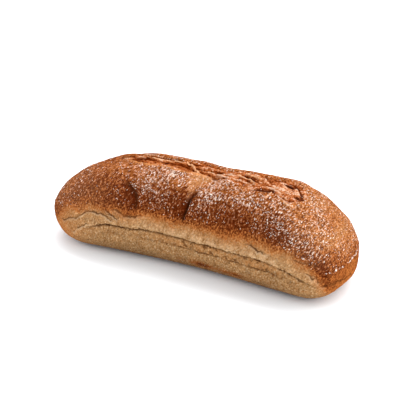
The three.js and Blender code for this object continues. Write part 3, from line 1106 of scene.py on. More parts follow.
@dataclass(frozen=True)
class Dusting:
    """Where the flour lies on the crust, and the lighter right end, which is partly painted light:
    shares from 0 to 1, and a density up to 2.
    """

    bake: Bake
    valley: Valley = Valley()
    veil: Patch = Patch((-84, -12, 40), (30, 34, 20))
    clump_patch: Patch = Patch((-14, -11, 58), (16, 5, 7))
    bloom_patch: Patch = Patch((88, -6, 38), (24, 34, 22))
    bloom_share: float = 0.85
    bloom_waves: Ripple = Ripple(0.5, 13.0, 107)
    bloom_limits: Span = (0.0, 1.2)
    bloom_heights: Span = (20.0, 32.0)
    right_end: Span = (36.0, 64.0)
    left_end: Span = (66.0, 84.0)
    end_drop: float = 2.0
    end_sink: float = 6.0
    shoulder_over: Span = (0.0, 10.0)
    shoulder_heights: Span = (26.0, 38.0)
    left_share: float = 0.3
    left_along: Span = (-58.0, -14.0)
    left_gain: float = 0.35
    tip_share: float = 0.75
    tip_along: Span = (74.0, 98.0)
    sparse: float = 0.55
    sparse_start: Span = (6.0, 26.0)
    sparse_end: Span = (40.0, 62.0)
    sparse_heights: Span = (48.0, 56.0)
    patch_share: float = 0.6
    patches: Ripple = Ripple(0.55, 19.0, 111, 3)
    patch_limits: Span = (0.2, 1.0)
    bare: Span = (1.0, 0.75)
    bare_along: Span = (8.0, 30.0)
    valley_clear: float = 0.5
    edge_clear: float = 0.8
    fold_clear: float = 0.7
    split_depths: Span = (0.3, 1.2)
    low_shares: Span = (0.45, 0.6)
    high_shares: Span = (1.05, 0.75)
    high_along: Span = (30.0, 72.0)
    crown_heights: Span = (43.0, 55.0)
    back_thin: float = 0.5
    back_heights: Span = (50.0, 55.0)
    back_across: Span = (0.0, 8.0)
    line_gain: float = 2.2
    line_up: float = 0.3
    line_width: float = 0.6
    line_wander: Ripple = Ripple(0.8, 4.0, 119)
    line_breaks: Ripple = Ripple(1.0, 3.0, 117)
    line_broken: Span = (-0.2, 0.25)
    line_along: Span = (92.0, 96.0)
    most: float = 2.0

    def clumps(self, p: Array) -> Array:
        """1 on the crown between the two front folds, where the flour lies in clumps."""
        clear = (1 - self.valley.share(p)) * (1 - self.bake.shape.tear.inside_share(p))
        return self.clump_patch.share(p) * clear

    def bloom_and_light(self, p: Array) -> Array:
        """1 on the right end, which is made lighter partly by a thin even dusting and partly as painted
        light.
        """
        uneven = np.clip(self.bloom_share + self.bloom_waves.at(p), *self.bloom_limits)
        return self.bloom_patch.share(p) * uneven * smooth(p[..., 2], *self.bloom_heights)

    def ends(self, x: Array) -> tuple[Array, Array]:
        """1 at the right end, and 1 at the left end."""
        return smooth(x, *self.right_end), smooth(-x, *self.left_end)

    def shoulder(self, p: Array) -> Array:
        """1 on the brown shoulders, reaching lower at the ends.

        Args:
            p: Points of the bare form.

        Returns:
            Shares from 0 to 1.
        """
        ends = sum(self.ends(p[..., 0]))
        over = smooth(self.bake.over_edge(p) + self.end_drop * ends, *self.shoulder_over)
        return over * smooth(p[..., 2] + self.end_sink * ends, *self.shoulder_heights)

    def along(self, p: Array) -> Array:
        """Share of the dusting along the roll, thinner on the left, low on the right and at the tip.

        Args:
            p: Points of the bare form.

        Returns:
            Shares from 0 to about 1.
        """
        x, z = p[..., 0], p[..., 2]
        _, left = self.ends(x)
        share = mix(self.left_share, 1.0, smooth(x, *self.left_along)) + self.left_gain * left
        share = share * mix(1.0, self.tip_share, smooth(x, *self.tip_along))
        low = (1 - smooth(x, *self.sparse_end)) * (1 - smooth(z, *self.sparse_heights))
        return share * (1 - self.sparse * smooth(x, *self.sparse_start) * low)

    def clear(self, p: Array) -> Array:
        """Share that the tear, its lip, the valley, the folds and the splits leave.

        Args:
            p: Points of the bare form.

        Returns:
            Shares from 0 to 1.
        """
        tear = self.bake.shape.tear
        bare = mix(*self.bare, smooth(p[..., 0], *self.bare_along))
        share = (1 - bare * tear.inside_share(p)) * (1 - self.valley_clear * self.valley.share(p))
        share = share * (1 - self.edge_clear * tear.lip_highlight_share(p))
        share = share * (1 - self.fold_clear * self.bake.shape.hollow(p))
        return share * (1 - smooth(-tear.strand_height(p), *self.split_depths))

    def crown(self, p: Array) -> Array:
        """Share by height: thicker towards the crown, thinner again behind it.

        Args:
            p: Points of the bare form.

        Returns:
            Shares from 0 to about 1.
        """
        x, y, z = np.moveaxis(p, -1, 0)
        low = mix(*self.low_shares, sum(self.ends(x)))
        high = mix(*self.high_shares, smooth(x, *self.high_along))
        back = smooth(z, *self.back_heights) * smooth(y, *self.back_across)
        return mix(low, high, smooth(z, *self.crown_heights)) * (1 - self.back_thin * back)

    def line(self, p: Array) -> Array:
        """1 on the broken line of flour along the ledge of the right tip.

        Args:
            p: Points of the bare form.

        Returns:
            Shares from 0 to 1.
        """
        ledge = self.bake.shape.ledge
        below = ledge.below(p) + self.line_up + self.line_wander.at(p)
        broken = smooth(self.line_breaks.at(p), *self.line_broken)
        along = ledge.share(p) * smooth(p[..., 0], *self.line_along)
        return bell(below / self.line_width) * along * broken

    def density(self, p: Array) -> Array:
        """Density of the flour: thick on the shoulders, thin at the tips, least in the tear.

        Args:
            p: Points of the bare form.

        Returns:
            Densities from 0 to the most.
        """
        patches = np.clip(self.patch_share + self.patches.at(p), *self.patch_limits)
        spread = self.shoulder(p) * self.along(p) * patches * self.clear(p) * self.crown(p)
        return np.clip(spread + self.line_gain * self.line(p), 0, self.most)


@dataclass
class Roll:
    """The roll's skin: a grid of stations along it and columns round its girth."""

    form: BareForm = field(default_factory=BareForm)
    shape: Shape = field(default_factory=Shape)
    stations: int = 400
    columns: int = 246
    under_height: float = 1.5
    under_share: float = 0.2
    crown_heights: Span = (48.0, 56.0)
    crown_share: float = 1.5
    crust_rise: float = 0.13
    crust_draw: float = 0.6
    wrinkles: Ripple = Ripple(2.0, 2.6, 121, 2)
    grain: Ripple = Ripple(1.2, 2.4, 125, 2)
    lumps: Ripple = Ripple(1.4, 11.0, 129, 2)
    lump_heights: Span = (4.0, 16.0)
    mark_middle: float = 0.5
    # Gain and reach of the light and shade painted by local height.
    shading_gain: float = 0.36
    shading_reach: int = 4
    strand_gain: float = 0.2
    points: Array = field(init=False)
    marks: dict[str, Array] = field(init=False)

    def station_line(self) -> Array:
        """Stations from the right tip to the left, at equal steps along the outline in plan.

        Returns:
            Stations from 1 to -1, without the tips.
        """
        turn = np.linspace(0, np.pi, FINE_STEPS)
        u = np.cos(turn)
        steps = np.hypot(np.diff(u) * self.form.length / 2, np.diff(self.form.half_width(u)))
        walk = np.concatenate([[0], np.cumsum(steps)])
        goals = walk[-1] * np.arange(1, self.stations + 1) / (self.stations + 1)
        return np.cos(np.interp(goals, walk, turn))

    def girth_angles(self) -> Array:
        """Girth angles round the middle section, closer on the crown and wider underneath.

        Returns:
            Angles over one turn, from the base.
        """
        angle = np.linspace(-np.pi / 2, 1.5 * np.pi, FINE_STEPS)
        section = self.form.point(np.zeros(1), angle)
        steps = np.linalg.norm(np.diff(section, axis=0), axis=1)
        steps *= np.where(section[1:, 2] < self.under_height, self.under_share, 1)
        steps *= mix(1, self.crown_share, smooth(section[1:, 2], *self.crown_heights))
        walk = np.concatenate([[0], np.cumsum(steps)])
        goals = walk[-1] * np.arange(self.columns) / self.columns
        return np.interp(goals, walk, angle)

    def crust(self, p: Array, brown: Array) -> Array:
        """Fine relief: leathery wrinkles where it browned, finer grain where it stayed pale.

        Args:
            p: Points of the bare form.
            brown: Browning of each point.

        Returns:
            Heights over the shaped roll.
        """
        lead = np.array(STREAK) / np.linalg.norm(STREAK)
        drawn = p - self.crust_draw * (p @ lead)[..., None] * lead
        wrinkles = 1 - np.abs(self.wrinkles.at(drawn))
        lumps = self.lumps.at(p) * smooth(p[..., 2], *self.lump_heights)
        return self.crust_rise * (brown * wrinkles + self.grain.at(p) + lumps)

    def place(self) -> None:
        """Works out the skin: the bare form, moved along its normals by the relief and the crust."""
        u = self.station_line()[:, None]
        angle = self.girth_angles()[None, :]
        bare = self.form.point(u, angle)
        bake = Bake(self.shape)
        brown = bake.brown(bare)
        height = self.shape.relief(bare) + self.crust(bare, brown)
        skin = bare + self.form.normal(u, angle) * height[..., None]
        skin[..., 2] = np.maximum(skin[..., 2], 0)
        self.points = skin
        tear, dusting = self.shape.tear, Dusting(bake)
        # Light and shade painted by local height: lighter where the skin stands above its surroundings,
        # darker where it sinks below them.
        raised = self.shading_gain * (height - self.blurred(height, self.shading_reach))
        relief_shading = self.mark_middle + raised + bake.torn_light(bare)
        strand = self.mark_middle + self.strand_gain * tear.strand_tone(bare)
        self.marks = {
            "brown": brown,
            "rim": bake.rim(bare),
            "torn": tear.inside_share(bare),
            "edge": tear.lip_highlight_share(bare),
            "strand": np.clip(strand, 0, 1),
            "relief_shading": np.clip(relief_shading, 0, 1),
            "valley": dusting.valley.share(bare),
            "clumps": dusting.clumps(bare),
            "bloom_and_light": dusting.bloom_and_light(bare),
            "veil": dusting.veil.share(bare),
            "foot": bake.right_foot(bare),
            "flour": dusting.density(bare),
            "crease": self.shape.crease_height(bare),
            "creased": self.shape.crease_share(bare),
            "crumbly": self.shape.crumbly_share(bare),
            "crack": self.shape.crack_gap(bare),
            "hollow": self.shape.hollow(bare),
        }

    @staticmethod
    def blurred(height: Array, reach: int) -> Array:
        """Mean over a square of cells, which wraps round the girth and stops at the tips.

        Args:
            height: Heights on the grid.
            reach: Cells from the middle of the square to its side.

        Returns:
            The means, on the same grid.
        """
        wrapped = np.pad(height, ((0, 0), (reach, reach)), "wrap")
        padded = np.pad(wrapped, ((reach, reach), (0, 0)), "edge")
        total = np.pad(padded.cumsum(0).cumsum(1), ((1, 0), (1, 0)))
        size = 2 * reach + 1
        upper = total[size:, size:] - total[:-size, size:]
        lower = total[size:, :-size] - total[:-size, :-size]
        return (upper - lower) / size**2

    def middle(self) -> Array:
        """Middle of the skin's box in x and y, which the frame's origin lies under."""
        flat = self.points.reshape(-1, 3)
        return np.append((flat.min(0) + flat.max(0))[:2] / 2, 0)

    def build(self) -> bpy.types.Object:
        """Makes the skin's mesh, closed with a fan at each tip.

        Returns:
            The roll's object, with a float attribute for each mark.
        """
        rings, columns = self.points.shape[:2]
        index = np.arange(rings * columns).reshape(rings, columns)
        beside = np.roll(index, -1, axis=1)
        quads = np.stack([index[:-1], beside[:-1], beside[1:], index[1:]], axis=-1).reshape(-1, 4)
        poles = rings * columns + np.arange(2)
        right = np.stack([np.full(columns, poles[0]), beside[0], index[0]], axis=-1)
        left = np.stack([np.full(columns, poles[1]), index[-1], beside[-1]], axis=-1)
        tips = np.stack([self.points[0].mean(0), self.points[-1].mean(0)])
        vertices = np.concatenate([self.points.reshape(-1, 3), tips]) - self.middle()
        piece = new_piece("roll_crust", vertices, [quads, right, left])
        for name, mark in self.marks.items():
            values = np.concatenate([mark.ravel(), [mark[0].mean(), mark[-1].mean()]])
            layer = piece.data.attributes.new(name, "FLOAT", "POINT")
            layer.data.foreach_set("value", values.astype(np.float32))
        return piece


def new_piece(name: str, vertices: Array, faces: list[Array], soft: bool = True) -> bpy.types.Object:
    """Puts a surface into a mesh object at the origin.

    Args:
        name: Name of the piece.
        vertices: Places in millimetres.
        faces: Arrays of corner indices, one array for each number of corners.
        soft: Whether the surface is shaded smooth.

    Returns:
        The new object.
    """
    mesh = bpy.data.meshes.new(name)
    corners = np.concatenate([part.ravel() for part in faces])
    sizes = np.concatenate([np.full(len(part), part.shape[1]) for part in faces])
    mesh.vertices.add(len(vertices))
    mesh.vertices.foreach_set("co", (vertices * MM).astype(np.float32).ravel())
    mesh.loops.add(len(corners))
    mesh.loops.foreach_set("vertex_index", corners.astype(np.int32))
    mesh.polygons.add(len(sizes))
    mesh.polygons.foreach_set("loop_start", (np.cumsum(sizes) - sizes).astype(np.int32))
    mesh.polygons.foreach_set("use_smooth", np.full(len(sizes), soft))
    mesh.update(calc_edges=True)
    mesh.validate()
    piece = bpy.data.objects.new(name, mesh)
    bpy.context.scene.collection.objects.link(piece)
    return piece


@dataclass
class FlourFlecks:
    """Flecks of flour: six-sided double cones, flattened and laid on the crust."""

    name: str
    count: int
    long_radius: Span
    slimness: Span
    thickness: float
    seed: int
    sides: int = 6
    gather: float = 1.5
    turn_spread: float = 0.45
    size_jitter: Span = (0.6, 1.15)
    edge_jitter: Span = (0.7, 1.25)
    lift_jitter: Span = (0.6, 1.4)

    def build(self, roll: Roll) -> bpy.types.Object:
        """Strews flecks over the cells of the roll, by area times the density of flour.

        Each fleck is a ring of corners round a centre, with a peak above and below. Its long side
        leans up the shoulder, give or take a random turn.

        Args:
            roll: The roll that carries them.

        Returns:
            One object with all the flecks.
        """
        draw = np.random.default_rng(self.seed)
        centre, normal = self.seats(roll, draw)
        lead = np.cross(normal, np.cross(STREAK, normal))
        lead /= np.linalg.norm(lead, axis=1, keepdims=True)
        side = np.cross(normal, lead)
        turn = draw.normal(0, self.turn_spread, (self.count, 1))
        first = lead * np.cos(turn) + side * np.sin(turn)
        second = np.cross(normal, first)
        radius = draw.uniform(*self.long_radius, (self.count, 1))
        radius = radius * draw.uniform(*self.size_jitter, (self.count, 1))
        slim = radius * draw.uniform(*self.slimness, (self.count, 1))
        angle = np.linspace(0, 2 * np.pi, self.sides, endpoint=False)
        jitter = draw.uniform(*self.edge_jitter, (self.count, self.sides, 1))
        ring = first[:, None] * radius[:, None] * np.cos(angle)[None, :, None]
        ring = ring + second[:, None] * slim[:, None] * np.sin(angle)[None, :, None]
        lift = self.thickness * draw.uniform(*self.lift_jitter, (self.count, 1))
        peaks = np.stack([normal * lift, -normal * lift], axis=1)
        vertices = centre[:, None] + np.concatenate([ring * jitter, peaks], axis=1)
        flat = vertices.reshape(-1, 3) - roll.middle()
        flat[:, 2] = np.maximum(flat[:, 2], 0)
        return new_piece(self.name, flat, [self.faces()], soft=False)

    def seats(self, roll: Roll, draw: np.random.Generator) -> tuple[Array, Array]:
        """Picks a place on the roll for each fleck.

        Args:
            roll: The roll that carries them.
            draw: Source of the random draws.

        Returns:
            The flecks' centres, and the outward normals there.
        """
        points = roll.points
        beside = np.roll(points, -1, axis=1)
        ahead, around = points[1:] - points[:-1], beside[:-1] - points[:-1]
        out = np.cross(around, ahead)
        area = np.linalg.norm(out, axis=-1)
        weight = (area * roll.marks["flour"][:-1] ** self.gather).ravel()
        chosen = draw.choice(len(weight), self.count, p=weight / weight.sum())
        share = draw.uniform(0, 1, (self.count, 2, 1))
        fields = (points[:-1], ahead, around, out)
        start, ahead, around, out = (part.reshape(-1, 3)[chosen] for part in fields)
        centre = start + share[:, 0] * ahead + share[:, 1] * around
        return centre, out / np.linalg.norm(out, axis=1, keepdims=True)

    def faces(self) -> Array:
        """Triangles from each side of a fleck's ring to the peak above it and the one below.

        Returns:
            Corner indices of all the flecks' triangles.
        """
        edge = np.arange(self.sides)
        following = (edge + 1) % self.sides
        upper = np.stack([edge, following, np.full(self.sides, self.sides)], axis=-1)
        lower = np.stack([following, edge, np.full(self.sides, self.sides + 1)], axis=-1)
        starts = np.arange(self.count) * (self.sides + 2)
        return (np.concatenate([upper, lower])[None] + starts[:, None, None]).reshape(-1, 3)


class Canvas:
    """A node tree that is filled one node at a time."""

    def __init__(self, tree: bpy.types.NodeTree) -> None:
        """Starts on a tree.

        Args:
            tree: The tree to fill.
        """
        self.tree = tree

    def add(self, kind: str, settings: dict | None = None, **inputs: object) -> bpy.types.Node:
        """Adds a node, sets its properties, and sets or links its inputs.

        Args:
            kind: Blender's name for the node type.
            settings: Properties of the node.
            **inputs: Sockets by name, with underscores for spaces: a value, or a socket to link.

        Returns:
            The new node.
        """
        node = self.tree.nodes.new(kind)
        for name, value in (settings or {}).items():
            setattr(node, name, value)
        for name, value in inputs.items():
            self.join(node.inputs[name.replace("_", " ")], value)
        return node

    def join(self, socket: Socket, value: object) -> None:
        """Links a socket to another, or sets its value.

        Args:
            socket: The input to fill.
            value: A value, or a socket to link.
        """
        if isinstance(value, Socket):
            self.tree.links.new(value, socket)
        else:
            socket.default_value = value

    def math(self, operation: str, first: object, second: object = 0.0) -> Socket:
        """One sum on two values.

        Args:
            operation: Name of the sum, such as ADD.
            first: A number or a socket.
            second: A number or a socket.

        Returns:
            The result's socket.
        """
        node = self.add("ShaderNodeMath", {"operation": operation})
        self.join(node.inputs[0], first)
        self.join(node.inputs[1], second)
        return node.outputs[0]

    def times(self, *factors: object) -> Socket:
        """The product of numbers and sockets.

        Args:
            *factors: Numbers and sockets.

        Returns:
            The product.
        """
        result = factors[0]
        for factor in factors[1:]:
            result = self.math("MULTIPLY", result, factor)
        return result

    def total(self, *parts: object) -> Socket:
        """The sum of numbers and sockets.

        Args:
            *parts: Numbers and sockets.

        Returns:
            The sum.
        """
        result = parts[0]
        for part in parts[1:]:
            result = self.math("ADD", result, part)
        return result

    def most(self, *parts: object) -> Socket:
        """The largest of numbers and sockets.

        Args:
            *parts: Numbers and sockets.

        Returns:
            The largest.
        """
        result = parts[0]
        for part in parts[1:]:
            result = self.math("MAXIMUM", result, part)
        return result

    def mark(self, name: str) -> Socket:
        """A float attribute of the piece."""
        return self.add("ShaderNodeAttribute", {"attribute_name": name}).outputs["Fac"]

    def steps(self, value: object, places: tuple[float, ...], colours: tuple[Colour, ...]) -> Socket:
        """A colour ramp.

        Args:
            value: The socket that drives it.
            places: Places of the colours, from 0 to 1.
            colours: One colour for each place.

        Returns:
            The colour's socket.
        """
        ramp = self.add("ShaderNodeValToRGB", None, Fac=value)
        elements = ramp.color_ramp.elements
        while len(elements) < len(places):
            elements.new(1.0)
        for element, place, colour in zip(elements, places, colours):
            element.position = place
            element.color = (*colour, 1)
        return ramp.outputs["Color"]

    def spread(
        self, value: object, low: float, high: float, start: float = 0, end: float = 1
    ) -> Socket:
        """Maps low..high to start..end, held at both ends.

        Args:
            value: A number or a socket.
            low: Value that gives the start.
            high: Value that gives the end.
            start: Result at low.
            end: Result at high.

        Returns:
            The mapped value.
        """
        node = self.add("ShaderNodeMapRange", {"clamp": True}, Value=value, From_Min=low, From_Max=high)
        self.join(node.inputs["To Min"], start)
        self.join(node.inputs["To Max"], end)
        return node.outputs["Result"]

    def line(self, gap: object, inner: float, outer: float) -> Socket:
        """1 where a distance is within inner of zero, and 0 past outer."""
        return self.spread(self.math("ABSOLUTE", gap), inner, outer, 1, 0)

    def blend(self, share: object, first: object, second: object, how: str = "MIX") -> Socket:
        """Mixes two colours.

        Args:
            share: How much of the second colour there is.
            first: A colour or a socket.
            second: A colour or a socket.
            how: Name of the way they mix.

        Returns:
            The colour's socket.
        """
        node = self.add("ShaderNodeMix", {"data_type": "RGBA", "blend_type": how})
        self.join(node.inputs["Factor"], share)
        self.join(node.inputs["A"], (*first, 1) if isinstance(first, tuple) else first)
        self.join(node.inputs["B"], (*second, 1) if isinstance(second, tuple) else second)
        return node.outputs["Result"]


def speckle_group() -> bpy.types.NodeTree:
    """Fine speckle that the crust and the flour share: noise that can be drawn out one way.

    Returns:
        A group with inputs Scale, Detail, Stretch, Turn and Warp, and an output Speckle.
    """
    tree = bpy.data.node_groups.new("speckle", "ShaderNodeTree")
    tree.interface.new_socket("Scale", in_out="INPUT", socket_type="NodeSocketFloat")
    tree.interface.new_socket("Detail", in_out="INPUT", socket_type="NodeSocketFloat")
    tree.interface.new_socket("Stretch", in_out="INPUT", socket_type="NodeSocketVector")
    tree.interface.new_socket("Turn", in_out="INPUT", socket_type="NodeSocketVector")
    tree.interface.new_socket("Warp", in_out="INPUT", socket_type="NodeSocketFloat")
    tree.interface.new_socket("Speckle", in_out="OUTPUT", socket_type="NodeSocketFloat")
    canvas = Canvas(tree)
    given = canvas.add("NodeGroupInput").outputs
    place = canvas.add("ShaderNodeTexCoord").outputs["Object"]
    drawn = canvas.add("ShaderNodeMapping", {"vector_type": "TEXTURE"}, Vector=place)
    canvas.join(drawn.inputs["Rotation"], given["Turn"])
    canvas.join(drawn.inputs["Scale"], given["Stretch"])
    noise = canvas.add("ShaderNodeTexNoise", None, Vector=drawn.outputs["Vector"])
    canvas.join(noise.inputs["Scale"], given["Scale"])
    canvas.join(noise.inputs["Detail"], given["Detail"])
    canvas.join(noise.inputs["Distortion"], given["Warp"])
    result = canvas.add("NodeGroupOutput")
    canvas.join(result.inputs["Speckle"], noise.outputs["Fac"])
    return tree


@dataclass(frozen=True)
class Speckle:
    """One use of the shared speckle.

    Attributes:
        scale: Specks in a metre.
        detail: Layers of finer specks.
        stretch: How far each speck is drawn out.
        lead: Direction that it is drawn out in.
        warp: How far the specks are bent.
    """

    scale: float
    detail: float
    stretch: float = 1.0
    lead: Point = STREAK
    warp: float = 0.0

    def lay(self, canvas: Canvas, group: bpy.types.NodeTree) -> Socket:
        """Puts the speckle into a tree.

        Args:
            canvas: The tree that uses it.
            group: The shared speckle's nodes.

        Returns:
            Values around a half.
        """
        node = canvas.add("ShaderNodeGroup", {"node_tree": group})
        canvas.join(node.inputs["Scale"], self.scale)
        canvas.join(node.inputs["Detail"], self.detail)
        canvas.join(node.inputs["Stretch"], (self.stretch, 1.0, 1.0))
        canvas.join(node.inputs["Turn"], Vector(self.lead).to_track_quat("X", "Z").to_euler())
        canvas.join(node.inputs["Warp"], self.warp)
        return node.outputs["Speckle"]


@dataclass(frozen=True)
class CrustFinish:
    """A wholemeal crust: pale where the flank was shielded, brown on the shoulders.

    It is coloured in coats: the bake, the torn dough with its painted light and shade, the flank's
    grain with painted shade towards its foot, the splits in painted shade and the flour.
    A Span or a Ramp holds the values that a coat changes between, and a Ramp also its shares.
    """

    group: bpy.types.NodeTree
    pale: Colour = (0.368, 0.196, 0.08)
    tan: Colour = (0.362, 0.163, 0.058)
    golden: Colour = (0.334, 0.103, 0.024)
    brown: Colour = (0.156, 0.038, 0.0095)
    dark: Colour = (0.08, 0.012, 0.0016)
    # The darkest painted shade, in the holes between the strands.
    torn_hole_shade: Colour = (0.028, 0.004, 0.0008)
    # Colours of the torn dough, from painted shade in its pits and on its walls to painted highlights
    # on its crests and highest dough.
    torn_pit_shade: Colour = (0.08, 0.0112, 0.0008)
    torn_wall_shade: Colour = (0.21, 0.045, 0.009)
    torn_dough: Colour = (0.304, 0.084, 0.022)
    torn_crest_highlight: Colour = (0.416, 0.155, 0.06)
    torn_light: Colour = (0.5, 0.3, 0.2)
    # A highlight painted on the strands.
    torn_strand_highlight: Colour = (0.592, 0.312, 0.16)
    # A highlight painted along the upper edge of the front lip.
    torn_lip_highlight: Colour = (0.496, 0.208, 0.072)
    shade: Colour = (0.048, 0.0144, 0.004)
    crumb: Colour = (0.4, 0.175, 0.058)
    bran: Colour = (0.2, 0.06, 0.0128)
    husk: Colour = (0.688, 0.488, 0.296)
    flour: Colour = (0.672, 0.592, 0.528)
    haze: Colour = (0.576, 0.304, 0.168)
    speckles: tuple[tuple[str, Speckle], ...] = (
        ("broad", Speckle(55, 3)),
        ("patch", Speckle(150, 2)),
        ("mottle", Speckle(240, 4)),
        ("heap", Speckle(260, 2, 2.0)),
        ("fibre", Speckle(320, 3, 5.0, FIBRE, 0.6)),
        ("pinholes", Speckle(330, 1)),
        ("holes", Speckle(420, 2)),
        ("fine", Speckle(430, 3)),
        ("finest", Speckle(1000, 2)),
        ("grain", Speckle(1000, 2, 3.2)),
        ("streak", Speckle(1200, 2, 2.7)),
    )
    crisp_shares: tuple[tuple[str, float], ...] = (("streak", 0.72), ("finest", 0.28))
    flank_brown: Ramp = (0.0, 0.75, 1.0, 0.0)
    # Shares of the level: the fold hollows are darkened as painted shade, the base edge partly as
    # toasting and partly as painted shade, and the right end is lightened partly by a dusting and
    # partly as painted light.
    level_shares: tuple[tuple[str, float], ...] = (
        ("brown", 0.70), ("rim", 0.7), ("foot", 0.02),
        ("hollow", 0.15), ("valley", -0.2), ("bloom_and_light", -0.33),
    )
    level_places: tuple[float, ...] = (0.0, 0.24, 0.46, 0.72, 1.0)
    level_broad: Ramp = (0.3, 0.7, -0.06, 0.06)
    level_crisp: Ramp = (0.36, 0.64, 0.3, -0.3)
    foot_calm: Ramp = (0.0, 1.0, 1.0, 0.5)
    # Painted shade in the fold hollows, in the level and in the pores.
    hollow_shade_power: float = 4.0
    hollow_shade: float = 0.12
    pore_hollow_shade: float = -0.05
    pore_crisp: Span = (0.51, 0.42)
    pore_brown: Span = (0.6, 1.0)
    pore_bloom: float = 0.6
    pore_smooth: Ramp = (0.0, 0.6, 0.75, 0.42)
    torn_places: tuple[float, ...] = (0.18, 0.42, 0.62, 0.84, 1.0)
    torn_fibre: Ramp = (0.36, 0.64, -0.4, 0.4)
    torn_finest: Ramp = (0.3, 0.7, -0.22, 0.22)
    lip_highlight_strength: float = 0.7
    # Painted highlights on the strands, painted shade in the splits and the darkest painted shade in
    # the holes.
    strand_highlight: Ramp = (0.58, 0.74, 0.0, 0.9)
    strand_split_shade: Ramp = (0.40, 0.2, 0.0, 0.9)
    strand_hole_shade: Span = (0.12, 0.0)
    husk_grain: Ramp = (0.56, 0.68, 0.0, 0.42)
    bran_grain: Ramp = (0.46, 0.35, 0.0, 0.6)
    tone_finest: Ramp = (0.35, 0.65, 0.74, 1.25)
    tone_mottle: Ramp = (0.3, 0.7, 0.82, 1.18)
    # Painted shade: the flank darkens by this share towards its foot.
    low_shade: Ramp = (-19.0, -1.0, 0.62, 1.0)
    tone_brown: Span = (0.3, 0.6)
    jag_fine: Ramp = (0.3, 0.7, -0.8, 0.8)
    jag_finest: Ramp = (0.3, 0.7, -0.4, 0.4)
    seam_line: Span = (0.32, 0.85)
    seam_breaks: Ramp = (0.38, 0.50, 0.3, 1.0)
    whole_line: Span = (0.5, 1.0)
    whole_crumbly: Ramp = (0.2, 0.6, 1.0, 0.0)
    band_foot: Span = (-6.4, -5.0)
    band_top: Ramp = (-0.3, 0.3, 1.0, 0.0)
    band_fine: Ramp = (0.42, 0.60, 0.0, 0.7)
    lower_down: float = 5.8
    lower_jag: float = 0.5
    lower_line: Span = (0.14, 0.55)
    lower_breaks: Ramp = (0.36, 0.50, 0.35, 0.9)
    cream_foot: Span = (0.2, 1.5)
    cream_top: Ramp = (3.0, 7.0, 1.0, 0.0)
    cream_mottle: Span = (0.35, 0.6)
    cream_crumbly: Ramp = (0.2, 0.6, 0.12, 0.32)
    hole_size: Ramp = (0.585, 0.64, 0.0, 0.75)
    pinhole_size: Ramp = (0.72, 0.75, 0.0, 0.8)
    crack_jag: float = 0.4
    crack_line: Span = (0.24, 0.85)
    crack_breaks: Ramp = (0.38, 0.52, 0.3, 0.82)
    crack_brown: Ramp = (0.4, 0.9, 1.0, 0.6)
    # A highlight painted on the lifted lower edge of each crack.
    crack_lit_foot: Ramp = (-2.2, -0.6, 0.0, 0.5)
    crack_lit_top: Ramp = (-0.5, -0.2, 1.0, 0.0)
    split_share: float = 0.92
    # Painted shade in small hollows of the crust, from local height.
    crevice_shade_relief: Ramp = (0.42, 0.12, 0.0, 0.75)
    haze_shares: tuple[tuple[str, float], ...] = (("bloom_and_light", 0.1), ("valley", 0.16))
    veil_haze: float = 0.09
    film_thick: float = 0.05
    film_crisp: Span = (0.59, 0.70)
    film_flour: Span = (0.02, 0.5)
    film_veil: float = 0.75
    film_share: float = 0.84
    clump_heap: Ramp = (0.53, 0.6, 0.0, 0.72)
    clump_crisp: Span = (0.47, 0.56)
    rough_brown: Ramp = (0.0, 1.0, 0.9, 0.6)
    rough_film: float = 0.2
    shine: float = 0.0
    grit_finest: float = 0.5
    grit_grain: float = 0.5
    grit_split: float = -0.5
    grit_strength: float = 0.9
    grit_depth: float = 0.0004

    def material(self) -> bpy.types.Material:
        """Builds the crust's material from the marks on the roll.

        Returns:
            The material.
        """
        material = bpy.data.materials.new("wholemeal_crust")
        material.use_nodes = True
        canvas = Canvas(material.node_tree)
        specks = {name: speckle.lay(canvas, self.group) for name, speckle in self.speckles}
        crisp = canvas.total(*(canvas.times(specks[name], share) for name, share in self.crisp_shares))
        specks["crisp"] = crisp
        colour = self.bake_coat(canvas, specks)
        colour = self.torn_coat(canvas, specks, colour)
        colour = self.flank_coat(canvas, specks, colour)
        colour, split = self.split_coat(canvas, specks, colour)
        colour, film = self.flour_coat(canvas, specks, colour)
        rough = canvas.spread(canvas.mark("brown"), *self.rough_brown)
        rough = canvas.total(rough, canvas.times(film, self.rough_film))
        grit = canvas.total(
            crisp,
            canvas.times(specks["finest"], self.grit_finest),
            canvas.times(specks["grain"], self.grit_grain),
            canvas.times(split, self.grit_split),
        )
        bump = canvas.add("ShaderNodeBump", None, Height=grit)
        bump.inputs["Strength"].default_value = self.grit_strength
        bump.inputs["Distance"].default_value = self.grit_depth
        shader = material.node_tree.nodes["Principled BSDF"]
        canvas.join(shader.inputs["Base Color"], colour)
        canvas.join(shader.inputs["Roughness"], rough)
        canvas.join(shader.inputs["Normal"], bump.outputs["Normal"])
        shader.inputs["Specular IOR Level"].default_value = self.shine
        return material

    def flank(self, canvas: Canvas) -> Socket:
        """1 on the pale flank, 0 on the brown crust."""
        return canvas.spread(canvas.mark("brown"), *self.flank_brown)

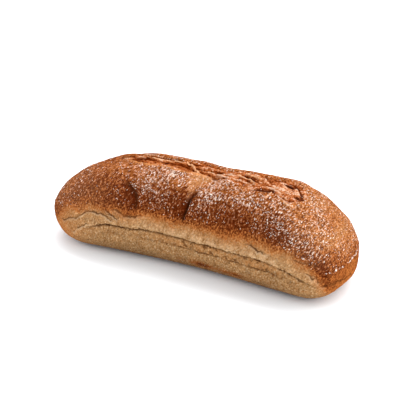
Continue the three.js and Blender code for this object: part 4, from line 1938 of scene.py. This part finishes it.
    def bake_coat(self, canvas: Canvas, specks: dict[str, Socket]) -> Socket:
        """Colours the crust by how far it baked, with painted shade in the fold hollows, a darker base
        edge that is partly toasting and partly painted shade, a lighter right end that is partly a
        dusting and partly painted light, and dark pores where it browned.

        Args:
            canvas: The material's tree.
            specks: Speckles by name.

        Returns:
            The colour.
        """
        brown, hollow = canvas.mark("brown"), canvas.mark("hollow")
        calm = canvas.spread(canvas.mark("foot"), *self.foot_calm)
        level = canvas.total(
            *(canvas.times(canvas.mark(name), share) for name, share in self.level_shares),
            # Painted shade in the fold hollows.
            canvas.times(canvas.math("POWER", hollow, self.hollow_shade_power), self.hollow_shade),
            canvas.spread(specks["broad"], *self.level_broad),
            canvas.times(canvas.spread(specks["crisp"], *self.level_crisp), brown, calm),
        )
        shades = (self.pale, self.tan, self.golden, self.brown, self.dark)
        colour = canvas.steps(level, self.level_places, shades)
        # More dark pores in the fold hollows, as painted shade.
        pitted = canvas.total(specks["crisp"], canvas.times(hollow, self.pore_hollow_shade))
        even = canvas.most(canvas.mark("valley"), canvas.times(canvas.mark("bloom_and_light"), self.pore_bloom))
        pores = canvas.times(
            canvas.spread(pitted, *self.pore_crisp),
            canvas.spread(brown, *self.pore_brown),
            canvas.spread(even, *self.pore_smooth),
        )
        return canvas.blend(pores, colour, self.dark)

    def torn_coat(self, canvas: Canvas, specks: dict[str, Socket], colour: Socket) -> Socket:
        """Paints light and shade on the torn dough by its local height, then a highlight along its lip,
        highlights on its strands and shade in its splits and holes.

        Args:
            canvas: The material's tree.
            specks: Speckles by name.
            colour: Colour of the coats below.

        Returns:
            The colour with this coat.
        """
        height = canvas.total(
            canvas.mark("relief_shading"),
            canvas.spread(specks["fibre"], *self.torn_fibre),
            canvas.spread(specks["finest"], *self.torn_finest),
        )
        # A ramp of painted shade and painted light over the dough's local height.
        shades = (self.torn_pit_shade, self.torn_wall_shade, self.torn_dough, self.torn_crest_highlight, self.torn_light)
        dough = canvas.steps(height, self.torn_places, shades)
        colour = canvas.blend(canvas.mark("torn"), colour, dough)
        # A highlight painted along the upper edge of the front lip.
        colour = canvas.blend(canvas.times(canvas.mark("edge"), self.lip_highlight_strength), colour, self.torn_lip_highlight)
        # Painted highlights on the strands, painted shade in the splits and the darkest painted shade
        # in the holes.
        strand = canvas.mark("strand")
        colour = canvas.blend(canvas.spread(strand, *self.strand_highlight), colour, self.torn_strand_highlight)
        colour = canvas.blend(canvas.spread(strand, *self.strand_split_shade), colour, self.torn_pit_shade)
        return canvas.blend(canvas.spread(strand, *self.strand_hole_shade), colour, self.torn_hole_shade)

    def flank_coat(self, canvas: Canvas, specks: dict[str, Socket], colour: Socket) -> Socket:
        """Adds husk and bran to the pale flank, and a random tone with painted shade that darkens it
        towards its foot.

        Args:
            canvas: The material's tree.
            specks: Speckles by name.
            colour: Colour of the coats below.

        Returns:
            The colour with this coat.
        """
        flank = self.flank(canvas)
        husk = canvas.times(canvas.spread(specks["grain"], *self.husk_grain), flank)
        bran = canvas.times(canvas.spread(specks["grain"], *self.bran_grain), flank)
        colour = canvas.blend(bran, canvas.blend(husk, colour, self.husk), self.bran)
        # Painted shade: the flank darkens towards its foot, below the crease.
        low = canvas.spread(canvas.mark("crease"), *self.low_shade)
        tone = canvas.times(
            canvas.spread(specks["finest"], *self.tone_finest),
            canvas.most(low, canvas.spread(canvas.mark("brown"), *self.tone_brown)),
            canvas.spread(specks["mottle"], *self.tone_mottle),
        )
        grey = canvas.add("ShaderNodeCombineColor", None, Red=tone, Green=tone, Blue=tone)
        return canvas.blend(1.0, colour, grey.outputs["Color"], "MULTIPLY")

    def split_coat(
        self, canvas: Canvas, specks: dict[str, Socket], colour: Socket
    ) -> tuple[Socket, Socket]:
        """Paints the creases, the cracks and the holes in shade, with a highlight painted on each
        crack's lifted lower edge, lays the crumbly band and a lighter cream band just above the
        creases, and paints shade into small hollows outside the tear.

        Args:
            canvas: The material's tree.
            specks: Speckles by name.
            colour: Colour of the coats below.

        Returns:
            The colour with this coat, and a share that is 1 in every split.
        """
        crease, creased, crumbly = canvas.mark("crease"), canvas.mark("creased"), canvas.mark("crumbly")
        patch, flank = specks["patch"], self.flank(canvas)
        jag = canvas.total(
            canvas.spread(specks["fine"], *self.jag_fine),
            canvas.spread(specks["finest"], *self.jag_finest),
        )
        above = canvas.total(crease, jag)
        breaks = canvas.spread(patch, *self.seam_breaks)
        broken = canvas.times(canvas.line(above, *self.seam_line), breaks)
        firm = canvas.spread(crumbly, *self.whole_crumbly)
        whole = canvas.times(canvas.line(above, *self.whole_line), firm)
        seam = canvas.times(canvas.most(broken, whole), creased)
        second = canvas.total(crease, canvas.times(jag, self.lower_jag), self.lower_down)
        breaks = canvas.spread(patch, *self.lower_breaks)
        lower = canvas.times(canvas.line(second, *self.lower_line), crumbly, breaks)

        foot, top = canvas.spread(above, *self.band_foot), canvas.spread(above, *self.band_top)
        band = canvas.times(foot, top, crumbly)
        crumbs = canvas.times(band, canvas.spread(specks["fine"], *self.band_fine))
        colour = canvas.blend(crumbs, colour, self.crumb)
        cream = canvas.times(
            canvas.spread(above, *self.cream_foot),
            canvas.spread(above, *self.cream_top),
            creased,
            canvas.spread(specks["mottle"], *self.cream_mottle),
            canvas.spread(crumbly, *self.cream_crumbly),
        )
        colour = canvas.blend(cream, colour, self.husk)
        holes = canvas.times(band, canvas.spread(specks["holes"], *self.hole_size))
        pinholes = canvas.times(flank, canvas.spread(specks["pinholes"], *self.pinhole_size))

        apart = canvas.total(canvas.mark("crack"), canvas.times(jag, self.crack_jag))
        crack = canvas.times(
            canvas.line(apart, *self.crack_line),
            canvas.spread(patch, *self.crack_breaks),
            canvas.spread(canvas.mark("brown"), *self.crack_brown),
        )
        # A highlight painted on the lifted lower edge of each crack.
        foot, top = canvas.spread(apart, *self.crack_lit_foot), canvas.spread(apart, *self.crack_lit_top)
        colour = canvas.blend(canvas.times(foot, top, flank), colour, self.husk)
        split = canvas.most(seam, lower, crack, holes, pinholes)
        # Painted shade in small hollows of the crust outside the tear, from its local height.
        crevice_shade = canvas.times(
            canvas.spread(canvas.mark("relief_shading"), *self.crevice_shade_relief),
            canvas.math("SUBTRACT", 1.0, canvas.mark("torn")),
        )
        # The creases, cracks, holes and small hollows are painted in shade.
        dark = canvas.most(canvas.times(split, self.split_share), crevice_shade)
        return canvas.blend(dark, colour, self.shade), split

    def flour_coat(
        self, canvas: Canvas, specks: dict[str, Socket], colour: Socket
    ) -> tuple[Socket, Socket]:
        """Lays a haze, a film and clumps of flour over the crust.

        Args:
            canvas: The material's tree.
            specks: Speckles by name.
            colour: Colour of the coats below.

        Returns:
            The colour with this coat, and the share of the film.
        """
        crisp, dusting = specks["crisp"], canvas.mark("flour")
        hazes = [canvas.times(canvas.mark(name), share) for name, share in self.haze_shares]
        hazy = canvas.total(*hazes)
        colour = canvas.blend(hazy, colour, self.haze)
        veil = canvas.times(canvas.mark("veil"), canvas.mark("brown"))
        colour = canvas.blend(canvas.times(veil, self.veil_haze), colour, self.haze)
        thick = canvas.total(crisp, canvas.times(dusting, self.film_thick))
        lying = canvas.spread(dusting, *self.film_flour)
        lying = canvas.most(lying, canvas.times(veil, self.film_veil))
        film = canvas.times(canvas.spread(thick, *self.film_crisp), lying)
        colour = canvas.blend(canvas.times(film, self.film_share), colour, self.flour)
        heap = canvas.spread(specks["heap"], *self.clump_heap)
        clump = canvas.times(heap, canvas.spread(crisp, *self.clump_crisp), canvas.mark("clumps"))
        return canvas.blend(clump, colour, self.flour), film


@dataclass(frozen=True)
class FlourFinish:
    """Dry flour, a little toasted."""

    group: bpy.types.NodeTree
    toasted: Colour = (0.68, 0.57, 0.48)
    white: Colour = (0.84, 0.78, 0.71)
    places: Span = (0.35, 0.65)
    speckle: Speckle = Speckle(260, 2, lead=(1.0, 0.0, 0.0))
    roughness: float = 0.95
    shine: float = 0.2

    def material(self) -> bpy.types.Material:
        """Builds the flour's material.

        Returns:
            The material.
        """
        material = bpy.data.materials.new("dry_flour")
        material.use_nodes = True
        canvas = Canvas(material.node_tree)
        speckle = self.speckle.lay(canvas, self.group)
        shader = material.node_tree.nodes["Principled BSDF"]
        colour = canvas.steps(speckle, self.places, (self.toasted, self.white))
        canvas.join(shader.inputs["Base Color"], colour)
        shader.inputs["Roughness"].default_value = self.roughness
        shader.inputs["Specular IOR Level"].default_value = self.shine
        return material


@dataclass(frozen=True)
class Lamp:
    """A soft oblong lamp that faces the roll, with sizes in metres and power in watts."""

    name: str
    place: Point
    size: Span
    power: float
    aim: Point = (0.0, 0.0, 0.03)

    def build(self) -> None:
        """Adds the lamp to the scene."""
        data = bpy.data.lights.new(self.name, "AREA")
        data.shape = "RECTANGLE"
        data.size, data.size_y = self.size
        data.energy = self.power
        lamp = bpy.data.objects.new(self.name, data)
        turn = (Vector(self.aim) - Vector(self.place)).to_track_quat("-Z", "Y")
        lamp.matrix_world = Matrix.Translation(self.place) @ turn.to_matrix().to_4x4()
        bpy.context.scene.collection.objects.link(lamp)


@dataclass
class Studio:
    """A pale floor, soft light from above and both sides, and the camera of the photograph."""

    azimuth: float = 25.69
    elevation: float = 26.47
    distance: float = 498.2
    focal_pixels: float = 763.7
    image_pixels: float = 420.0
    aim_right: float = 6.40
    aim_up: float = 3.54
    aim_height: float = 27.16
    sensor: float = 36.0
    clip_start: float = 0.01
    floor_size: float = 40.0
    floor_colour: Colour = (0.90, 0.93, 0.96)
    floor_roughness: float = 0.9
    surround_colour: Colour = (1.0, 1.0, 1.0)
    surround_strength: float = 0.7
    lamps: tuple[Lamp, ...] = (
        Lamp("overhead", (0.1, 0.6, 1.1), (5.0, 0.7), 52.0),
        Lamp("right", (1.4, -0.5, 0.7), (1.2, 0.9), 11.0),
        Lamp("left", (-1.4, -0.5, 0.7), (1.2, 0.9), 11.0),
    )

    def camera(self, middle: Array) -> None:
        """Places the camera where the roll's outline matches the photograph's.

        Args:
            middle: Middle of the roll, which the frame's origin lies under.
        """
        turn, tilt = math.radians(self.azimuth), math.radians(self.elevation)
        level = math.cos(tilt)
        back = Vector((math.sin(turn) * level, -math.cos(turn) * level, math.sin(tilt)))
        right = Vector((math.cos(turn), math.sin(turn), 0))
        up = back.cross(right)
        aim = right * self.aim_right + up * self.aim_up + Vector((0, 0, self.aim_height))
        aim = aim - Vector(middle)
        data = bpy.data.cameras.new("photo_view")
        data.sensor_width = self.sensor
        data.lens = self.sensor * self.focal_pixels / self.image_pixels
        data.clip_start = self.clip_start
        camera = bpy.data.objects.new("photo_view", data)
        axes = Matrix((right, up, back)).transposed().to_4x4()
        camera.matrix_world = Matrix.Translation((aim + back * self.distance) * MM) @ axes
        bpy.context.scene.collection.objects.link(camera)
        bpy.context.scene.camera = camera

    def floor(self) -> None:
        """Builds the floor and its paper."""
        half = self.floor_size / 2 / MM
        corners = np.array([[-half, -half, 0], [half, -half, 0], [half, half, 0], [-half, half, 0]])
        floor = new_piece("floor", corners, [np.array([[0, 1, 2, 3]])], soft=False)
        paper = bpy.data.materials.new("white_paper")
        paper.use_nodes = True
        shader = paper.node_tree.nodes["Principled BSDF"]
        shader.inputs["Base Color"].default_value = (*self.floor_colour, 1)
        shader.inputs["Roughness"].default_value = self.floor_roughness
        floor.data.materials.append(paper)

    def surround(self) -> None:
        """Builds the white surround."""
        world = bpy.data.worlds.new("white_surround")
        world.use_nodes = True
        surround = world.node_tree.nodes["Background"]
        surround.inputs["Color"].default_value = (*self.surround_colour, 1)
        surround.inputs["Strength"].default_value = self.surround_strength
        bpy.context.scene.world = world
        bpy.context.scene.view_settings.view_transform = "Standard"

    def build(self, middle: Array) -> None:
        """Builds the floor, the lamps, the white surround and the camera.

        Args:
            middle: Middle of the roll, which the frame's origin lies under.
        """
        self.floor()
        for lamp in self.lamps:
            lamp.build()
        self.surround()
        self.camera(middle)
        log.info("studio: %d lamps", len(self.lamps))


def dress(piece: bpy.types.Object, material: bpy.types.Material) -> None:
    """Gives a piece its material and lets it ride with the roll.

    Args:
        piece: The piece.
        material: Its material.
    """
    piece.data.materials.append(material)
    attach(piece, BODY)
    log.info("%s: %d faces, %s", piece.name, len(piece.data.polygons), material.name)


def main() -> None:
    """Builds the roll, its flour and the studio."""
    logging.basicConfig(level=logging.INFO, format="%(name)s: %(message)s")
    speckle = speckle_group()
    roll = Roll()
    roll.place()
    skin = roll.build()
    dress(skin, CrustFinish(speckle).material())
    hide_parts(NODE)
    flour = FlourFinish(speckle).material()
    for flecks in (
        FlourFlecks("flour_flecks", 1550, (0.28, 0.7), (0.26, 0.55), 0.12, 201),
        FlourFlecks("flour_dust", 3600, (0.15, 0.3), (0.4, 0.9), 0.09, 202),
    ):
        dress(flecks.build(roll), flour)
    Studio().build(roll.middle())


if __name__ == "__main__":
    main()
